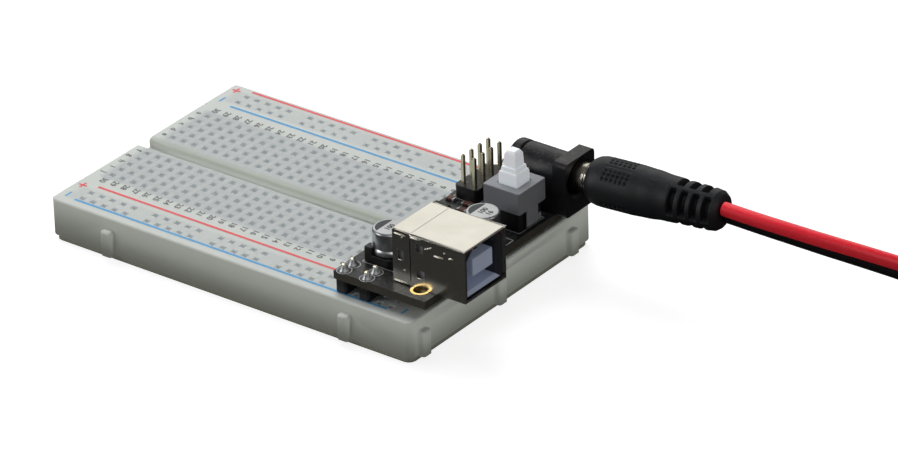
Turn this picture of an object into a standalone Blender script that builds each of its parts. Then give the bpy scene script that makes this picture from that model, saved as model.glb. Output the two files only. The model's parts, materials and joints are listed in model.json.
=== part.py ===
"""Half-size solderless breadboard with a plug-in power module and a DC lead.

The origin is the centre of the board's underside. +X points to the end that carries the power
module, +Z is up. Lengths below are in millimetres and are multiplied by MM when they are named.
"""
import math

import bmesh
import bpy
from mathutils import Euler, Matrix, Vector

MM = 0.001
PITCH = 2.54 * MM  # hole grid of the board and of every pin header
GAP = 0.3 * MM  # clearance between neighbouring pieces
SKIN_GAP = 0.1 * MM  # clearance between stacked sheets
PAST = 1.0 * MM  # a cut runs this far beyond the face it opens

# Board
COLUMNS = 30
END_MARGIN = 4.67 * MM  # board beyond the outermost columns, on average
SIDE_MARGIN = 3.12 * MM  # board beyond the outermost rows
BOARD_HEIGHT = 8.5 * MM
BOARD_CORNER = 1.5 * MM
BOARD_EDGE = 0.4 * MM
GRID_SHIFT = -0.8 * MM  # centre of the hole grid, from the board's centre
ROWS_PER_BANK = 5
INNER_ROW = 1.5 * PITCH  # rows e and f, from the centre line
BUS_ROWS = (8.5 * PITCH, 9.5 * PITCH)
BUS_GROUP_HOLES = 5  # and then one place is left out
HOLE = 1.0 * MM
TOP_WALL = 2.0 * MM
CLIP_SLOT = 1.9 * MM
CLIP_SLOT_OVERRUN = 1.3 * MM  # slot beyond its last hole
CHANNEL_WIDTH = 3.0 * MM
CHANNEL_DEPTH = 2.2 * MM
CHANNEL_SHOULDER = 1.1 * MM
LINER = 0.2 * MM
PAD = 0.7 * MM
PAD_INSET = 0.4 * MM
TAB_WIDTH = 2.4 * MM
TAB_REACH = 1.4 * MM
TAB_HEIGHT = 6.2 * MM
TAB_ROOT = 0.6 * MM  # tab inside the wall it stands on
TAB_EDGE = 0.4 * MM
LONG_TABS_X = (-27.5 * MM, 27.1 * MM)
SHORT_TABS_Y = (-24.0 * MM, -1.5 * MM, 20.5 * MM)
TAB_FIT = 0.2 * MM  # a socket is this much wider than its tab, all round

# Contact clips
CLIP_SHEET = 0.2 * MM
CLIP_MOUTH = 1.0 * MM  # between the two walls of a clip
CARRIER = 0.25 * MM

# Power module, placed from the board's holes. A part's place is where its centre, its first pin or
# its corner goes: along X from the circuit board's outer end, and along Y from the centre line.
RAIL_COLUMNS = (-4, -2)  # where the rail pins go, in pitches from the last bus hole
PIN = 0.64 * MM
PIN_TAPER = 0.2 * MM
RAIL_PIN_DEPTH = 6.0 * MM  # length of pin in the board
HEADER_HEIGHT = 2.5 * MM
HEADER_STAND = 0.1 * MM
HEADER_EDGE = 0.25 * MM
PCB_LENGTH_X = 20.4 * MM
PCB_EDGE_X = 1.6 * MM  # circuit board beyond its first column of rail pins
PCB_EDGE_Y = 1.1 * MM  # circuit board beyond its outer row of rail pins
PCB_THICK = 1.6 * MM
PCB_HOLE = 3.0 * MM
PCB_HOLE_X = 3.3 * MM  # hole's centre, from the circuit board's outer end
PCB_HOLE_Y = 3.0 * MM  # hole's centre, from the circuit board's front edge
PIN_HOLE = 1.3 * MM
SOLDER_RADIUS = 0.85 * MM
SOLDER_HEIGHT = 1.1 * MM
PIN_STUB = 1.5 * MM

# USB type B socket
USB_SIZE = Vector((16.0, 12.0, 10.4)) * MM
USB_REACH = 6.6 * MM  # socket beyond the circuit board's end
USB_FRONT_Y = 3.23 * MM  # socket's side, from the circuit board's front edge
USB_SHEET = 0.4 * MM
USB_EDGE = 0.3 * MM
USB_INNER = Vector((8.45, 7.78)) * MM
USB_INNER_DEPTH = 9.0 * MM
USB_CHAMFER = 1.6 * MM
USB_TONGUE = Vector((8.4, 5.6, 3.2)) * MM
USB_CONTACT = Vector((6.5, 1.0, 0.25)) * MM
USB_CONTACT_SPACING = 2.5 * MM

# Electrolytic capacitors
CAN_RADIUS = 3.15 * MM
CAN_HEIGHT = 4.4 * MM
CAN_EDGE = 0.4 * MM
CAN_NECK = 0.25 * MM  # depth of the crimped groove
CAP_BASE_RIM = 0.15 * MM  # base beyond the can
CAP_BASE_HEIGHT = 1.5 * MM
CAP_CHAMFER = 1.4 * MM
CAP_POST = 1.7 * MM  # corner posts that hold the can, along each side of the base
CAP_POST_HEIGHT = 3.0 * MM
CAP_PLACES = (Vector((-14.6, -16.1)) * MM, Vector((-4.0, -1.9)) * MM)

# Selector header, two by four pins
HEADER_PIN_COUNT = (2, 4)
HEADER_PLACE = Vector((-17.85, 10.1)) * MM
HEADER_PIN_ABOVE = 6.0 * MM
HEADER_NOTCH = 0.45 * MM

# Latching push switch
SWITCH_PLACE = Vector((-4.7, 7.9)) * MM
SWITCH_OVERHANG = 0.5 * MM  # body beyond the base
SWITCH_BODY_HEIGHT = 4.0 * MM
SWITCH_BASE_WALL = 1.15 * MM
SWITCH_BASE_HEIGHT = 3.6 * MM
SWITCH_FLOOR = 0.9 * MM
SWITCH_EDGE = 0.35 * MM
SWITCH_LEG = Vector((0.4, 3.4, 3.4)) * MM
PLUNGER_FOOT = 4.0 * MM
PLUNGER_FOOT_ABOVE = 3.2 * MM
PLUNGER_TIP = 2.9 * MM
PLUNGER_TIP_HEIGHT = 3.5 * MM
PLUNGER_EDGE = 0.5 * MM
PLUNGER_TRAVEL = 2.0 * MM
PLUNGER_FIT = 0.25 * MM
SPRING_WIRE = 0.3 * MM
SPRING_TURNS = 4

# DC jack
JACK_LENGTH = 14.3 * MM
JACK_REACH = 3.3 * MM  # flange beyond the circuit board's end
JACK_FLANGE = 3.3 * MM
JACK_RIM = 1.25 * MM  # flange beyond the bore, on each side
JACK_TOP_RIM = 1.15 * MM
JACK_AXIS_Y = 17.5 * MM
JACK_AXIS_RISE = 6.5 * MM  # bore's axis above the circuit board
JACK_WALL = 0.65 * MM
JACK_FIT = 0.5 * MM  # bore's clearance round the plug's sleeve
JACK_BORE_DEPTH = 9.8 * MM
JACK_COUNTERSINK = 0.5 * MM
JACK_EDGE = 0.4 * MM
JACK_CAP = 2.0 * MM
JACK_PIN = 0.95 * MM
JACK_PIN_RECESS = 1.5 * MM
JACK_SPRING = Vector((7.5, 2.0, 0.3)) * MM
JACK_SPRING_RECESS = 1.5 * MM

# DC plug, tilted in the jack; along its own axis from the pivot inside the jack
PLUG_PIVOT_DEPTH = 5.0 * MM  # pivot behind the jack's mouth
PLUG_YAW = math.radians(3.7)
PLUG_RISE = math.radians(1.6)
SLEEVE_RADIUS = 2.75 * MM
SLEEVE_EDGE = 0.3 * MM
SLEEVE_BORE = 1.3 * MM
SLEEVE_BORE_DEPTH = 8.4 * MM
SLEEVE_INSERTED = 1.4 * MM  # sleeve's tip beyond the pivot, towards the pin
SLEEVE_LENGTH = 12.2 * MM
PLUG_FACE = 8.1 * MM  # front of the moulded grip, from the pivot
PLUG_SOCKET = 3.0 * MM
PLUG_GRIP_LENGTH = 16.0 * MM
PLUG_RADIUS = 4.65 * MM
RELIEF_LENGTH = 11.3 * MM
RELIEF_RADII = (4.0 * MM, 3.45 * MM)
RELIEF_RIBS = 4
RELIEF_GROOVE = 0.6 * MM

# Lead, a red and black twin cord
LEAD_WIDTH = 5.6 * MM
LEAD_STEP = 5.2 * MM  # between the tube's points
LEAD_ROUTE = [  # hand-laid points from just behind the plug to the coil
    Vector((83.0, 20.3, 20.1)) * MM,
    Vector((89.0, 21.1, 19.6)) * MM,
    Vector((96.0, 22.7, 18.6)) * MM,
    Vector((103.0, 24.9, 17.3)) * MM,
    Vector((110.0, 27.7, 15.5)) * MM,
    Vector((117.0, 31.0, 13.0)) * MM,
    Vector((124.0, 34.7, 9.9)) * MM,
    Vector((131.0, 38.5, 6.7)) * MM,
    Vector((138.0, 42.2, 4.3)) * MM,
    Vector((145.0, 45.4, 3.4)) * MM,
    Vector((149.0, 46.6, 3.4)) * MM,
]
COIL_CENTRE = Vector((168.0, 13.0)) * MM
COIL_RADII = (29.4 * MM, 35.6 * MM)  # inside and outside of the wound turns
COIL_EDGE = 0.8 * MM
COIL_TIE = Vector((4.0, 0.5)) * MM  # width and thickness of the strap
COIL_TIE_ANGLE = math.radians(-90.0)

# Regulators and power light
REGULATOR_SIZE = Vector((3.5, 6.5, 1.7)) * MM
REGULATOR_PLACES = (Vector((-19.2, -10.5)) * MM, Vector((-19.2, -3.0)) * MM)
LIGHT_SIZE = Vector((1.6, 0.8, 0.7)) * MM
LIGHT_PLACE = Vector((-12.2, 2.4)) * MM

ROUND = 24  # sides of a round piece

BOARD_LENGTH = (COLUMNS - 1) * PITCH + 2 * END_MARGIN
BOARD_DEPTH = 2 * (BUS_ROWS[1] + SIDE_MARGIN)
BOARD_TOP = BOARD_HEIGHT
HOUSING_BOTTOM = LINER + SKIN_GAP + PAD + SKIN_GAP
GRID_HALF = (COLUMNS - 1) / 2 * PITCH
OUTER_ROW = INNER_ROW + (ROWS_PER_BANK - 1) * PITCH
BANK_CENTRE = (INNER_ROW + OUTER_ROW) / 2
SLOT_LENGTH = OUTER_ROW - INNER_ROW + 2 * CLIP_SLOT_OVERRUN
SLOT_TOP = BOARD_TOP - TOP_WALL
PCB_BOTTOM = BOARD_TOP + HEADER_HEIGHT
PCB_TOP = PCB_BOTTOM + PCB_THICK
SEAT = PCB_TOP + SKIN_GAP  # where parts sit on the circuit board
BUS_GROUPS = COLUMNS // (BUS_GROUP_HOLES + 1)
BUS_HALF = (BUS_GROUPS * (BUS_GROUP_HOLES + 1) - 2) / 2 * PITCH
RAIL_X = [GRID_SHIFT + BUS_HALF + column * PITCH for column in RAIL_COLUMNS]
PCB_LOW = Vector((RAIL_X[0] - PCB_EDGE_X, -BUS_ROWS[1] - PCB_EDGE_Y))
PCB_HIGH = Vector((PCB_LOW.x + PCB_LENGTH_X, BUS_ROWS[1] + PCB_EDGE_Y))
OUTER_END = Vector((PCB_HIGH.x, 0.0))
JACK_BORE = SLEEVE_RADIUS + JACK_FIT
JACK_AXIS_Z = SEAT + JACK_AXIS_RISE
JACK_MOUTH = PCB_HIGH.x + JACK_REACH
PLUG_PIVOT = Vector((JACK_MOUTH - PLUG_PIVOT_DEPTH, JACK_AXIS_Y, JACK_AXIS_Z))
PLUG_TURN = Euler((0.0, -PLUG_RISE, PLUG_YAW)).to_matrix().to_4x4()


def material(name, colour, roughness, metallic=0.0):
    made = bpy.data.materials.new(name)
    made.use_nodes = True
    shader = made.node_tree.nodes["Principled BSDF"]
    shader.inputs["Base Color"].default_value = (*colour, 1.0)
    shader.inputs["Roughness"].default_value = roughness
    shader.inputs["Metallic"].default_value = metallic
    made.diffuse_color = (*colour, 1.0)
    return made


def finished(name, bm, finish, smooth=False):
    """Turn a bmesh into a named object with faces pointing out."""
    bmesh.ops.recalc_face_normals(bm, faces=bm.faces)
    mesh = bpy.data.meshes.new(name)
    bm.to_mesh(mesh)
    bm.free()
    if smooth:
        mesh.shade_smooth()
        mesh.set_sharp_from_angle(angle=math.radians(35))
    mesh.materials.append(finish)
    made = bpy.data.objects.new(name, mesh)
    bpy.context.scene.collection.objects.link(made)
    return made


def add_box(bm, low, high):
    middle = (Vector(low) + Vector(high)) / 2
    size = Vector(high) - Vector(low)
    place = Matrix.Translation(middle) @ Matrix.Diagonal((*size, 1.0))
    return bmesh.ops.create_cube(bm, size=1.0, matrix=place)["verts"]


def box(name, low, high, finish, bevel=0.0):
    bm = bmesh.new()
    add_box(bm, low, high)
    if bevel:
        bmesh.ops.bevel(bm, geom=bm.edges[:], offset=bevel, segments=1, affect="EDGES")
    return finished(name, bm, finish)


def add_loft(bm, rings, closed_ends=True):
    """Join rings of equally many points with quads and cap the first and last."""
    made = [[bm.verts.new(point) for point in ring] for ring in rings]
    for lower, upper in zip(made, made[1:]):
        for index in range(len(lower)):
            after = (index + 1) % len(lower)
            bm.faces.new((lower[index], lower[after], upper[after], upper[index]))
    if closed_ends:
        bm.faces.new(made[0][::-1])
        bm.faces.new(made[-1])
    return made


def rounded_outline(low, high, radius, steps=3):
    """Points of a rectangle with round corners, anticlockwise, as (x, y)."""
    corners = (
        (high.x - radius, low.y + radius, -90),
        (high.x - radius, high.y - radius, 0),
        (low.x + radius, high.y - radius, 90),
        (low.x + radius, low.y + radius, 180),
    )
    points = []
    for x, y, start in corners:
        for step in range(steps + 1):
            angle = math.radians(start + 90 * step / steps)
            points.append((x + radius * math.cos(angle), y + radius * math.sin(angle)))
    return points


def rounded_slab(name, low, high, radius, finish, edge=0.0):
    """A flat slab with round corners in plan and an eased upper edge."""
    rings = [[Vector((x, y, low.z)) for x, y in rounded_outline(low, high, radius)]]
    rings.append([Vector((x, y, high.z - edge)) for x, y in rounded_outline(low, high, radius)])
    if edge:
        inset = Vector((edge, edge, 0.0))
        top = rounded_outline(low + inset, high - inset, radius - edge / 2)
        rings.append([Vector((x, y, high.z)) for x, y in top])
    bm = bmesh.new()
    add_loft(bm, rings)
    return finished(name, bm, finish)


def add_turned(bm, profile, sides=ROUND, place=Matrix()):
    """Revolve (along, radius) points round the local X axis; a zero radius closes an end."""
    rings = []
    for along, radius in profile:
        ring = []
        for side in range(sides):
            angle = 2 * math.pi * side / sides
            point = Vector((along, radius * math.cos(angle), radius * math.sin(angle)))
            ring.append(place @ point)
        rings.append(ring)
    return add_loft(bm, rings)


def turned(name, profile, finish, place, sides=ROUND):
    bm = bmesh.new()
    add_turned(bm, profile, sides, place)
    return finished(name, bm, finish, smooth=True)


def upright(centre, z=0.0):
    """Placement that stands a turned piece up, its axis along +Z."""
    return Matrix.Translation((centre.x, centre.y, z)) @ Matrix.Rotation(-math.pi / 2, 4, "Y")


def change(target, cutter_bm, operation):
    """Cut or join a bmesh of closed shapes with an exact Boolean."""
    count = len(target.modifiers)
    cutter = finished(f"{target.name}_{operation.lower()}_{count}", cutter_bm, CUTTER)
    cutter.hide_render = True
    cutter.display_type = "WIRE"
    boolean = target.modifiers.new(f"{operation.lower()}_{count}", "BOOLEAN")
    boolean.operation = operation
    boolean.solver = "EXACT"
    boolean.object = cutter


def bank_rows(side):
    return [side * (INNER_ROW + row * PITCH) for row in range(ROWS_PER_BANK)]


def column_x():
    return [GRID_SHIFT - GRID_HALF + column * PITCH for column in range(COLUMNS)]


def bus_x():
    spread = BUS_GROUP_HOLES + 1
    return [
        GRID_SHIFT - BUS_HALF + (spread * group + hole) * PITCH
        for group in range(BUS_GROUPS)
        for hole in range(BUS_GROUP_HOLES)
    ]


def side_tabs():
    """Ribs on the front and outer sides that lock one board to the next."""
    bm = bmesh.new()
    half = TAB_WIDTH / 2
    for x in LONG_TABS_X:
        front = -BOARD_DEPTH / 2
        low = (x - half, front - TAB_REACH, HOUSING_BOTTOM)
        add_box(bm, low, (x + half, front + TAB_ROOT, TAB_HEIGHT))
    for y in SHORT_TABS_Y:
        end = BOARD_LENGTH / 2
        low = (end - TAB_ROOT, y - half, HOUSING_BOTTOM)
        add_box(bm, low, (end + TAB_REACH, y + half, TAB_HEIGHT))
    bmesh.ops.bevel(bm, geom=bm.edges[:], offset=TAB_EDGE, segments=1, affect="EDGES")
    return bm


def side_sockets():
    """Slots on the other two sides, which take the tabs of a neighbouring board."""
    bm = bmesh.new()
    half = TAB_WIDTH / 2 + TAB_FIT
    depth = TAB_REACH + TAB_FIT
    low = HOUSING_BOTTOM - PAST
    high = TAB_HEIGHT + TAB_FIT
    for x in LONG_TABS_X:
        back = BOARD_DEPTH / 2
        add_box(bm, (x - half, back - depth, low), (x + half, back + PAST, high))
    for y in SHORT_TABS_Y:
        end = -BOARD_LENGTH / 2
        add_box(bm, (end - PAST, y - half, low), (end + depth, y + half, high))
    return bm


def channel():
    """Groove between the two banks, with round shoulders."""
    bm = bmesh.new()
    half = CHANNEL_WIDTH / 2
    shoulder = CHANNEL_SHOULDER
    profile = [(half + shoulder, BOARD_TOP + shoulder)]
    for step in range(4):
        angle = math.pi / 2 * step / 3
        y = half + shoulder - shoulder * math.sin(angle)
        profile.append((y, BOARD_TOP - shoulder + shoulder * math.cos(angle)))
    profile.append((half, BOARD_TOP - CHANNEL_DEPTH))
    outline = profile + [(-y, z) for y, z in reversed(profile)]
    reach = BOARD_LENGTH / 2 + PAST
    add_loft(bm, [[Vector((x, y, z)) for y, z in outline] for x in (-reach, reach)])
    return bm


def clip_slots():
    """Slots from below for the contact clips, and shallow seats for their carriers."""
    bm = bmesh.new()
    half = CLIP_SLOT / 2
    low = HOUSING_BOTTOM - PAST
    for side in (-1, 1):
        near = side * BANK_CENTRE - SLOT_LENGTH / 2
        for x in column_x():
            add_box(bm, (x - half, near, low), (x + half, near + SLOT_LENGTH, SLOT_TOP))
        for row in BUS_ROWS:
            y = side * row
            ends = (bus_x()[0] - CLIP_SLOT_OVERRUN, bus_x()[-1] + CLIP_SLOT_OVERRUN)
            add_box(bm, (ends[0], y - half, low), (ends[1], y + half, SLOT_TOP))
    return bm


def carrier_seats():
    bm = bmesh.new()
    half_x = GRID_HALF + CLIP_SLOT / 2
    top = HOUSING_BOTTOM + CARRIER + 2 * GAP
    for side in (-1, 1):
        centre = side * BANK_CENTRE
        low = (GRID_SHIFT - half_x, centre - SLOT_LENGTH / 2, HOUSING_BOTTOM - PAST)
        add_box(bm, low, (GRID_SHIFT + half_x, centre + SLOT_LENGTH / 2, top))
    return bm


def contact_holes():
    """The square holes of the upper face."""
    bm = bmesh.new()
    half = HOLE / 2
    low = SLOT_TOP - PAST / 2
    high = BOARD_TOP + PAST / 2
    for side in (-1, 1):
        places = [(x, y) for x in column_x() for y in bank_rows(side)]
        places += [(x, side * row) for x in bus_x() for row in BUS_ROWS]
        for x, y in places:
            add_box(bm, (x - half, y - half, low), (x + half, y + half, high))
    return bm


def housing():
    corner = Vector((BOARD_LENGTH / 2, BOARD_DEPTH / 2, 0.0))
    low = -corner + Vector((0.0, 0.0, HOUSING_BOTTOM))
    high = corner + Vector((0.0, 0.0, BOARD_TOP))
    made = rounded_slab("housing", low, high, BOARD_CORNER, IVORY, BOARD_EDGE)
    change(made, side_tabs(), "UNION")
    change(made, side_sockets(), "DIFFERENCE")
    change(made, channel(), "DIFFERENCE")
    change(made, clip_slots(), "DIFFERENCE")
    change(made, carrier_seats(), "DIFFERENCE")
    change(made, contact_holes(), "DIFFERENCE")


def backing():
    """Foam adhesive pad and the release liner under it."""
    half = Vector((BOARD_LENGTH / 2 - PAD_INSET, BOARD_DEPTH / 2 - PAD_INSET, 0.0))
    for name, low, thick, finish in (
        ("release_liner", 0.0, LINER, PAPER),
        ("adhesive_pad", LINER + SKIN_GAP, PAD, FOAM),
    ):
        base = -half + Vector((0.0, 0.0, low))
        rounded_slab(name, base, half + Vector((0.0, 0.0, low + thick)), BOARD_CORNER, finish)


def terminal_clips(name, side):
    """Thirty five-way clips of one bank, held at their feet by a common carrier."""
    bm = bmesh.new()
    low = HOUSING_BOTTOM + GAP
    centre = side * BANK_CENTRE
    reach = SLOT_LENGTH / 2 - GAP
    half_x = GRID_HALF + CLIP_SLOT / 2 - GAP
    add_box(
        bm,
        (GRID_SHIFT - half_x, centre - reach, low),
        (GRID_SHIFT + half_x, centre + reach, low + CARRIER),
    )
    made = finished(name, bm, BRONZE)
    walls = bmesh.new()
    inner = CLIP_MOUTH / 2
    outer = inner + CLIP_SHEET
    for x in column_x():
        for near, far in ((-outer, -inner), (inner, outer)):
            add_box(
                walls,
                (x + near, centre - reach, low + CARRIER / 2),
                (x + far, centre + reach, SLOT_TOP - GAP),
            )
    change(made, walls, "UNION")


def bus_clip(name, y):
    """One long clip: a folded channel that serves a whole bus row."""
    inner = CLIP_MOUTH / 2
    outer = inner + CLIP_SHEET
    low = HOUSING_BOTTOM + GAP
    high = SLOT_TOP - GAP
    floor = low + CLIP_SHEET
    outline = [
        (-outer, low),
        (outer, low),
        (outer, high),
        (inner, high),
        (inner, floor),
        (-inner, floor),
        (-inner, high),
        (-outer, high),
    ]
    reach = CLIP_SLOT_OVERRUN - GAP
    ends = (bus_x()[0] - reach, bus_x()[-1] + reach)
    bm = bmesh.new()
    add_loft(bm, [[Vector((x, y + across, z)) for across, z in outline] for x in ends])
    finished(name, bm, BRONZE)


def clips():
    for name, side in (("front", -1), ("back", 1)):
        terminal_clips(f"terminal_clips_{name}", side)
        for place, row in zip(("inner", "outer"), BUS_ROWS):
            bus_clip(f"bus_clip_{name}_{place}", side * row)


def square_rings(centre, levels):
    """Square sections of an upright piece, from (height, half width) pairs."""
    corners = ((-1, -1), (1, -1), (1, 1), (-1, 1))
    return [
        [Vector((centre.x + i * half, centre.y + j * half, z)) for i, j in corners]
        for z, half in levels
    ]


def pin(name, x, y, low, high, cone_at=None):
    """A square pin, with its solder joint where it passes through the circuit board."""
    full = PIN / 2
    point = full - PIN_TAPER
    levels = [(low, point), (low + 2 * PIN_TAPER, full), (high - PIN_TAPER, full), (high, point)]
    bm = bmesh.new()
    add_loft(bm, square_rings(Vector((x, y)), levels))
    made = finished(name, bm, BRASS)
    if cone_at is not None:
        cone = bmesh.new()
        waist = (SOLDER_HEIGHT * 0.35, SOLDER_RADIUS * 0.6)
        profile = [(0.0, SOLDER_RADIUS), waist, (SOLDER_HEIGHT, PIN / 2)]
        add_turned(cone, profile, 12, upright(Vector((x, y)), cone_at))
        bmesh.ops.recalc_face_normals(cone, faces=cone.faces)
        change(made, cone, "UNION")


def rail_places():
    for side_name, side in (("front", -1), ("back", 1)):
        for number, x in enumerate(RAIL_X, 1):
            yield side_name, side, number, x


def rail_headers():
    """Two-pin headers that plug the module into the board's bus rows."""
    unit = PITCH / 2 - SKIN_GAP / 2
    low_z = BOARD_TOP + HEADER_STAND
    high_z = PCB_BOTTOM - SKIN_GAP
    middle = (BUS_ROWS[0] + BUS_ROWS[1]) / 2
    for side_name, side, number, x in rail_places():
        y = side * middle
        name = f"rail_header_{side_name}_{number}"
        made = box(
            name,
            (x - unit, y - PITCH / 2 - unit, low_z),
            (x + unit, y + PITCH / 2 + unit, high_z),
            BLACK,
            bevel=HEADER_EDGE,
        )
        holes = bmesh.new()
        reach = PIN / 2 + SKIN_GAP
        for place, row in zip(("inner", "outer"), BUS_ROWS):
            add_box(
                holes,
                (x - reach, side * row - reach, low_z - PAST),
                (x + reach, side * row + reach, high_z + PAST),
            )
            pin(
                f"rail_pin_{side_name}_{number}_{place}",
                x,
                side * row,
                BOARD_TOP - RAIL_PIN_DEPTH,
                PCB_TOP + PIN_STUB,
                PCB_TOP + SKIN_GAP,
            )
        change(made, holes, "DIFFERENCE")


def header_places():
    for column in range(HEADER_PIN_COUNT[0]):
        for row in range(HEADER_PIN_COUNT[1]):
            yield column, row, OUTER_END + HEADER_PLACE + Vector((column, row)) * PITCH


def selector_header():
    """Two by four pin header whose base has a small vee between its units."""
    low = OUTER_END + HEADER_PLACE - Vector((PITCH, PITCH)) / 2
    high = low + Vector(HEADER_PIN_COUNT) * PITCH
    notch = HEADER_NOTCH
    outline = [(low.x + notch, low.y), (high.x - notch, low.y)]
    rows = HEADER_PIN_COUNT[1]
    for row in range(rows):
        y = low.y + row * PITCH
        outline += [(high.x, y + notch), (high.x, y + PITCH - notch), (high.x - notch, y + PITCH)]
    outline.append((low.x + notch, high.y))
    for row in reversed(range(rows)):
        y = low.y + row * PITCH
        outline += [(low.x, y + PITCH - notch), (low.x, y + notch)]
        if row:
            outline.append((low.x + notch, y))
    bm = bmesh.new()
    add_loft(bm, [[Vector((x, y, z)) for x, y in outline] for z in (SEAT, SEAT + HEADER_HEIGHT)])
    made = finished("selector_header", bm, BLACK)
    holes = bmesh.new()
    reach = PIN / 2 + SKIN_GAP
    for column, row, place in header_places():
        add_box(
            holes,
            (place.x - reach, place.y - reach, SEAT - PAST),
            (place.x + reach, place.y + reach, SEAT + HEADER_HEIGHT + PAST),
        )
        top = SEAT + HEADER_HEIGHT + HEADER_PIN_ABOVE
        pin(f"selector_pin_{column + 1}_{row + 1}", place.x, place.y, PCB_BOTTOM - PIN_STUB, top)
    change(made, holes, "DIFFERENCE")


def circuit_board():
    low = Vector((PCB_LOW.x, PCB_LOW.y, PCB_BOTTOM))
    high = Vector((PCB_HIGH.x, PCB_HIGH.y, PCB_TOP))
    made = box("circuit_board", low, high, SOLDER_MASK)
    holes = bmesh.new()
    places = [place for _, _, place in header_places()]
    for _, side, _, x in rail_places():
        places += [Vector((x, side * row)) for row in BUS_ROWS]
    drilled = [(place, PIN_HOLE, 8) for place in places]
    screw = Vector((PCB_HIGH.x - PCB_HOLE_X, PCB_LOW.y + PCB_HOLE_Y))
    drilled.append((screw, PCB_HOLE, ROUND))
    for place, across, sides in drilled:
        profile = [(-PAST, across / 2), (PCB_THICK + PAST, across / 2)]
        add_turned(holes, profile, sides, upright(place, PCB_BOTTOM))
    change(made, holes, "DIFFERENCE")


def usb_outline(size, chamfer):
    """Outline of the plug's opening, chamfered at the two upper corners, as (y, z)."""
    half_y = size.x / 2
    half_z = size.y / 2
    return [
        (-half_y, -half_z),
        (half_y, -half_z),
        (half_y, half_z - chamfer),
        (half_y - chamfer, half_z),
        (-half_y + chamfer, half_z),
        (-half_y, half_z - chamfer),
    ]


def usb_socket():
    front = PCB_HIGH.x + USB_REACH
    low = Vector((front - USB_SIZE.x, PCB_LOW.y + USB_FRONT_Y, SEAT))
    high = low + USB_SIZE
    centre = Vector((front, low.y + USB_SIZE.y / 2, SEAT + USB_SIZE.z / 2))
    sheet = Vector((1.0, 1.0, 1.0)) * USB_SHEET
    shell = box("usb_shell", low, high, TIN, bevel=USB_EDGE)
    inside = bmesh.new()
    add_box(inside, low + sheet, high - sheet + Vector((USB_SHEET + PAST, 0.0, 0.0)))
    change(shell, inside, "DIFFERENCE")

    gap = Vector((1.0, 1.0, 1.0)) * GAP
    block = box("usb_insulator", low + sheet + gap, high - sheet - gap, INSULATOR)
    opening = bmesh.new()
    tongue = bmesh.new()
    back = front - USB_SHEET - GAP - USB_INNER_DEPTH
    outline = usb_outline(USB_INNER, USB_CHAMFER)
    rings = [
        [Vector((x, centre.y + y, centre.z + z)) for y, z in outline] for x in (back, front + PAST)
    ]
    add_loft(opening, rings)
    half_y = USB_TONGUE.y / 2
    half_z = USB_TONGUE.z / 2
    add_box(
        tongue,
        (back - PAST, centre.y - half_y, centre.z - half_z),
        (back + USB_TONGUE.x, centre.y + half_y, centre.z + half_z),
    )
    change(block, opening, "DIFFERENCE")
    change(block, tongue, "UNION")
    number = 0
    for side in (-1, 1):
        for place in (-1, 1):
            number += 1
            y = centre.y + place * USB_CONTACT_SPACING / 2
            foot = centre.z + side * (half_z + SKIN_GAP)
            tip = foot + side * USB_CONTACT.z
            box(
                f"usb_contact_{number}",
                (back + GAP, y - USB_CONTACT.y / 2, min(foot, tip)),
                (back + GAP + USB_CONTACT.x, y + USB_CONTACT.y / 2, max(foot, tip)),
                BRASS,
            )


def can_posts(place, half, cut):
    """Posts at the four corners of a can's base, hollowed to the can's curve."""
    bm = bmesh.new()
    radius = CAN_RADIUS + SKIN_GAP
    side = half - CAP_POST
    start = math.asin(side / radius)
    arc = [start + (math.pi / 2 - 2 * start) * step / 4 for step in range(5)]
    for i, j in ((1, 1), (1, -1), (-1, 1), (-1, -1)):
        corner = [(half - cut, half), (half, half - cut)] if i > 0 else [(half, half)]
        outline = [(side, half), *corner, (half, side)]
        outline += [(radius * math.cos(angle), radius * math.sin(angle)) for angle in arc]
        levels = (SEAT + CAP_BASE_HEIGHT / 2, SEAT + CAP_POST_HEIGHT)
        add_loft(
            bm,
            [[Vector((place.x + i * x, place.y + j * y, z)) for x, y in outline] for z in levels],
        )
    bmesh.ops.recalc_face_normals(bm, faces=bm.faces)
    return bm


def capacitors():
    for number, offset in enumerate(CAP_PLACES, 1):
        place = OUTER_END + offset
        half = CAN_RADIUS + CAP_BASE_RIM
        cut = CAP_CHAMFER
        outline = [
            (-half, -half),
            (half - cut, -half),
            (half, -half + cut),
            (half, half - cut),
            (half - cut, half),
            (-half, half),
        ]
        bm = bmesh.new()
        rings = [
            [Vector((place.x + x, place.y + y, z)) for x, y in outline]
            for z in (SEAT, SEAT + CAP_BASE_HEIGHT)
        ]
        add_loft(bm, rings)
        base = finished(f"capacitor_base_{number}", bm, BLACK)
        change(base, can_posts(place, half, cut), "UNION")
        radius = CAN_RADIUS
        ease = CAN_EDGE
        profile = [
            (0.0, radius - CAN_NECK),
            (ease / 2, radius),
            (ease * 2, radius),
            (ease * 3, radius - CAN_NECK),
            (ease * 4, radius),
            (CAN_HEIGHT - ease, radius),
            (CAN_HEIGHT, radius - ease),
        ]
        seat = SEAT + CAP_BASE_HEIGHT + SKIN_GAP
        turned(f"capacitor_can_{number}", profile, ALUMINIUM, upright(place, seat))


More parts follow.
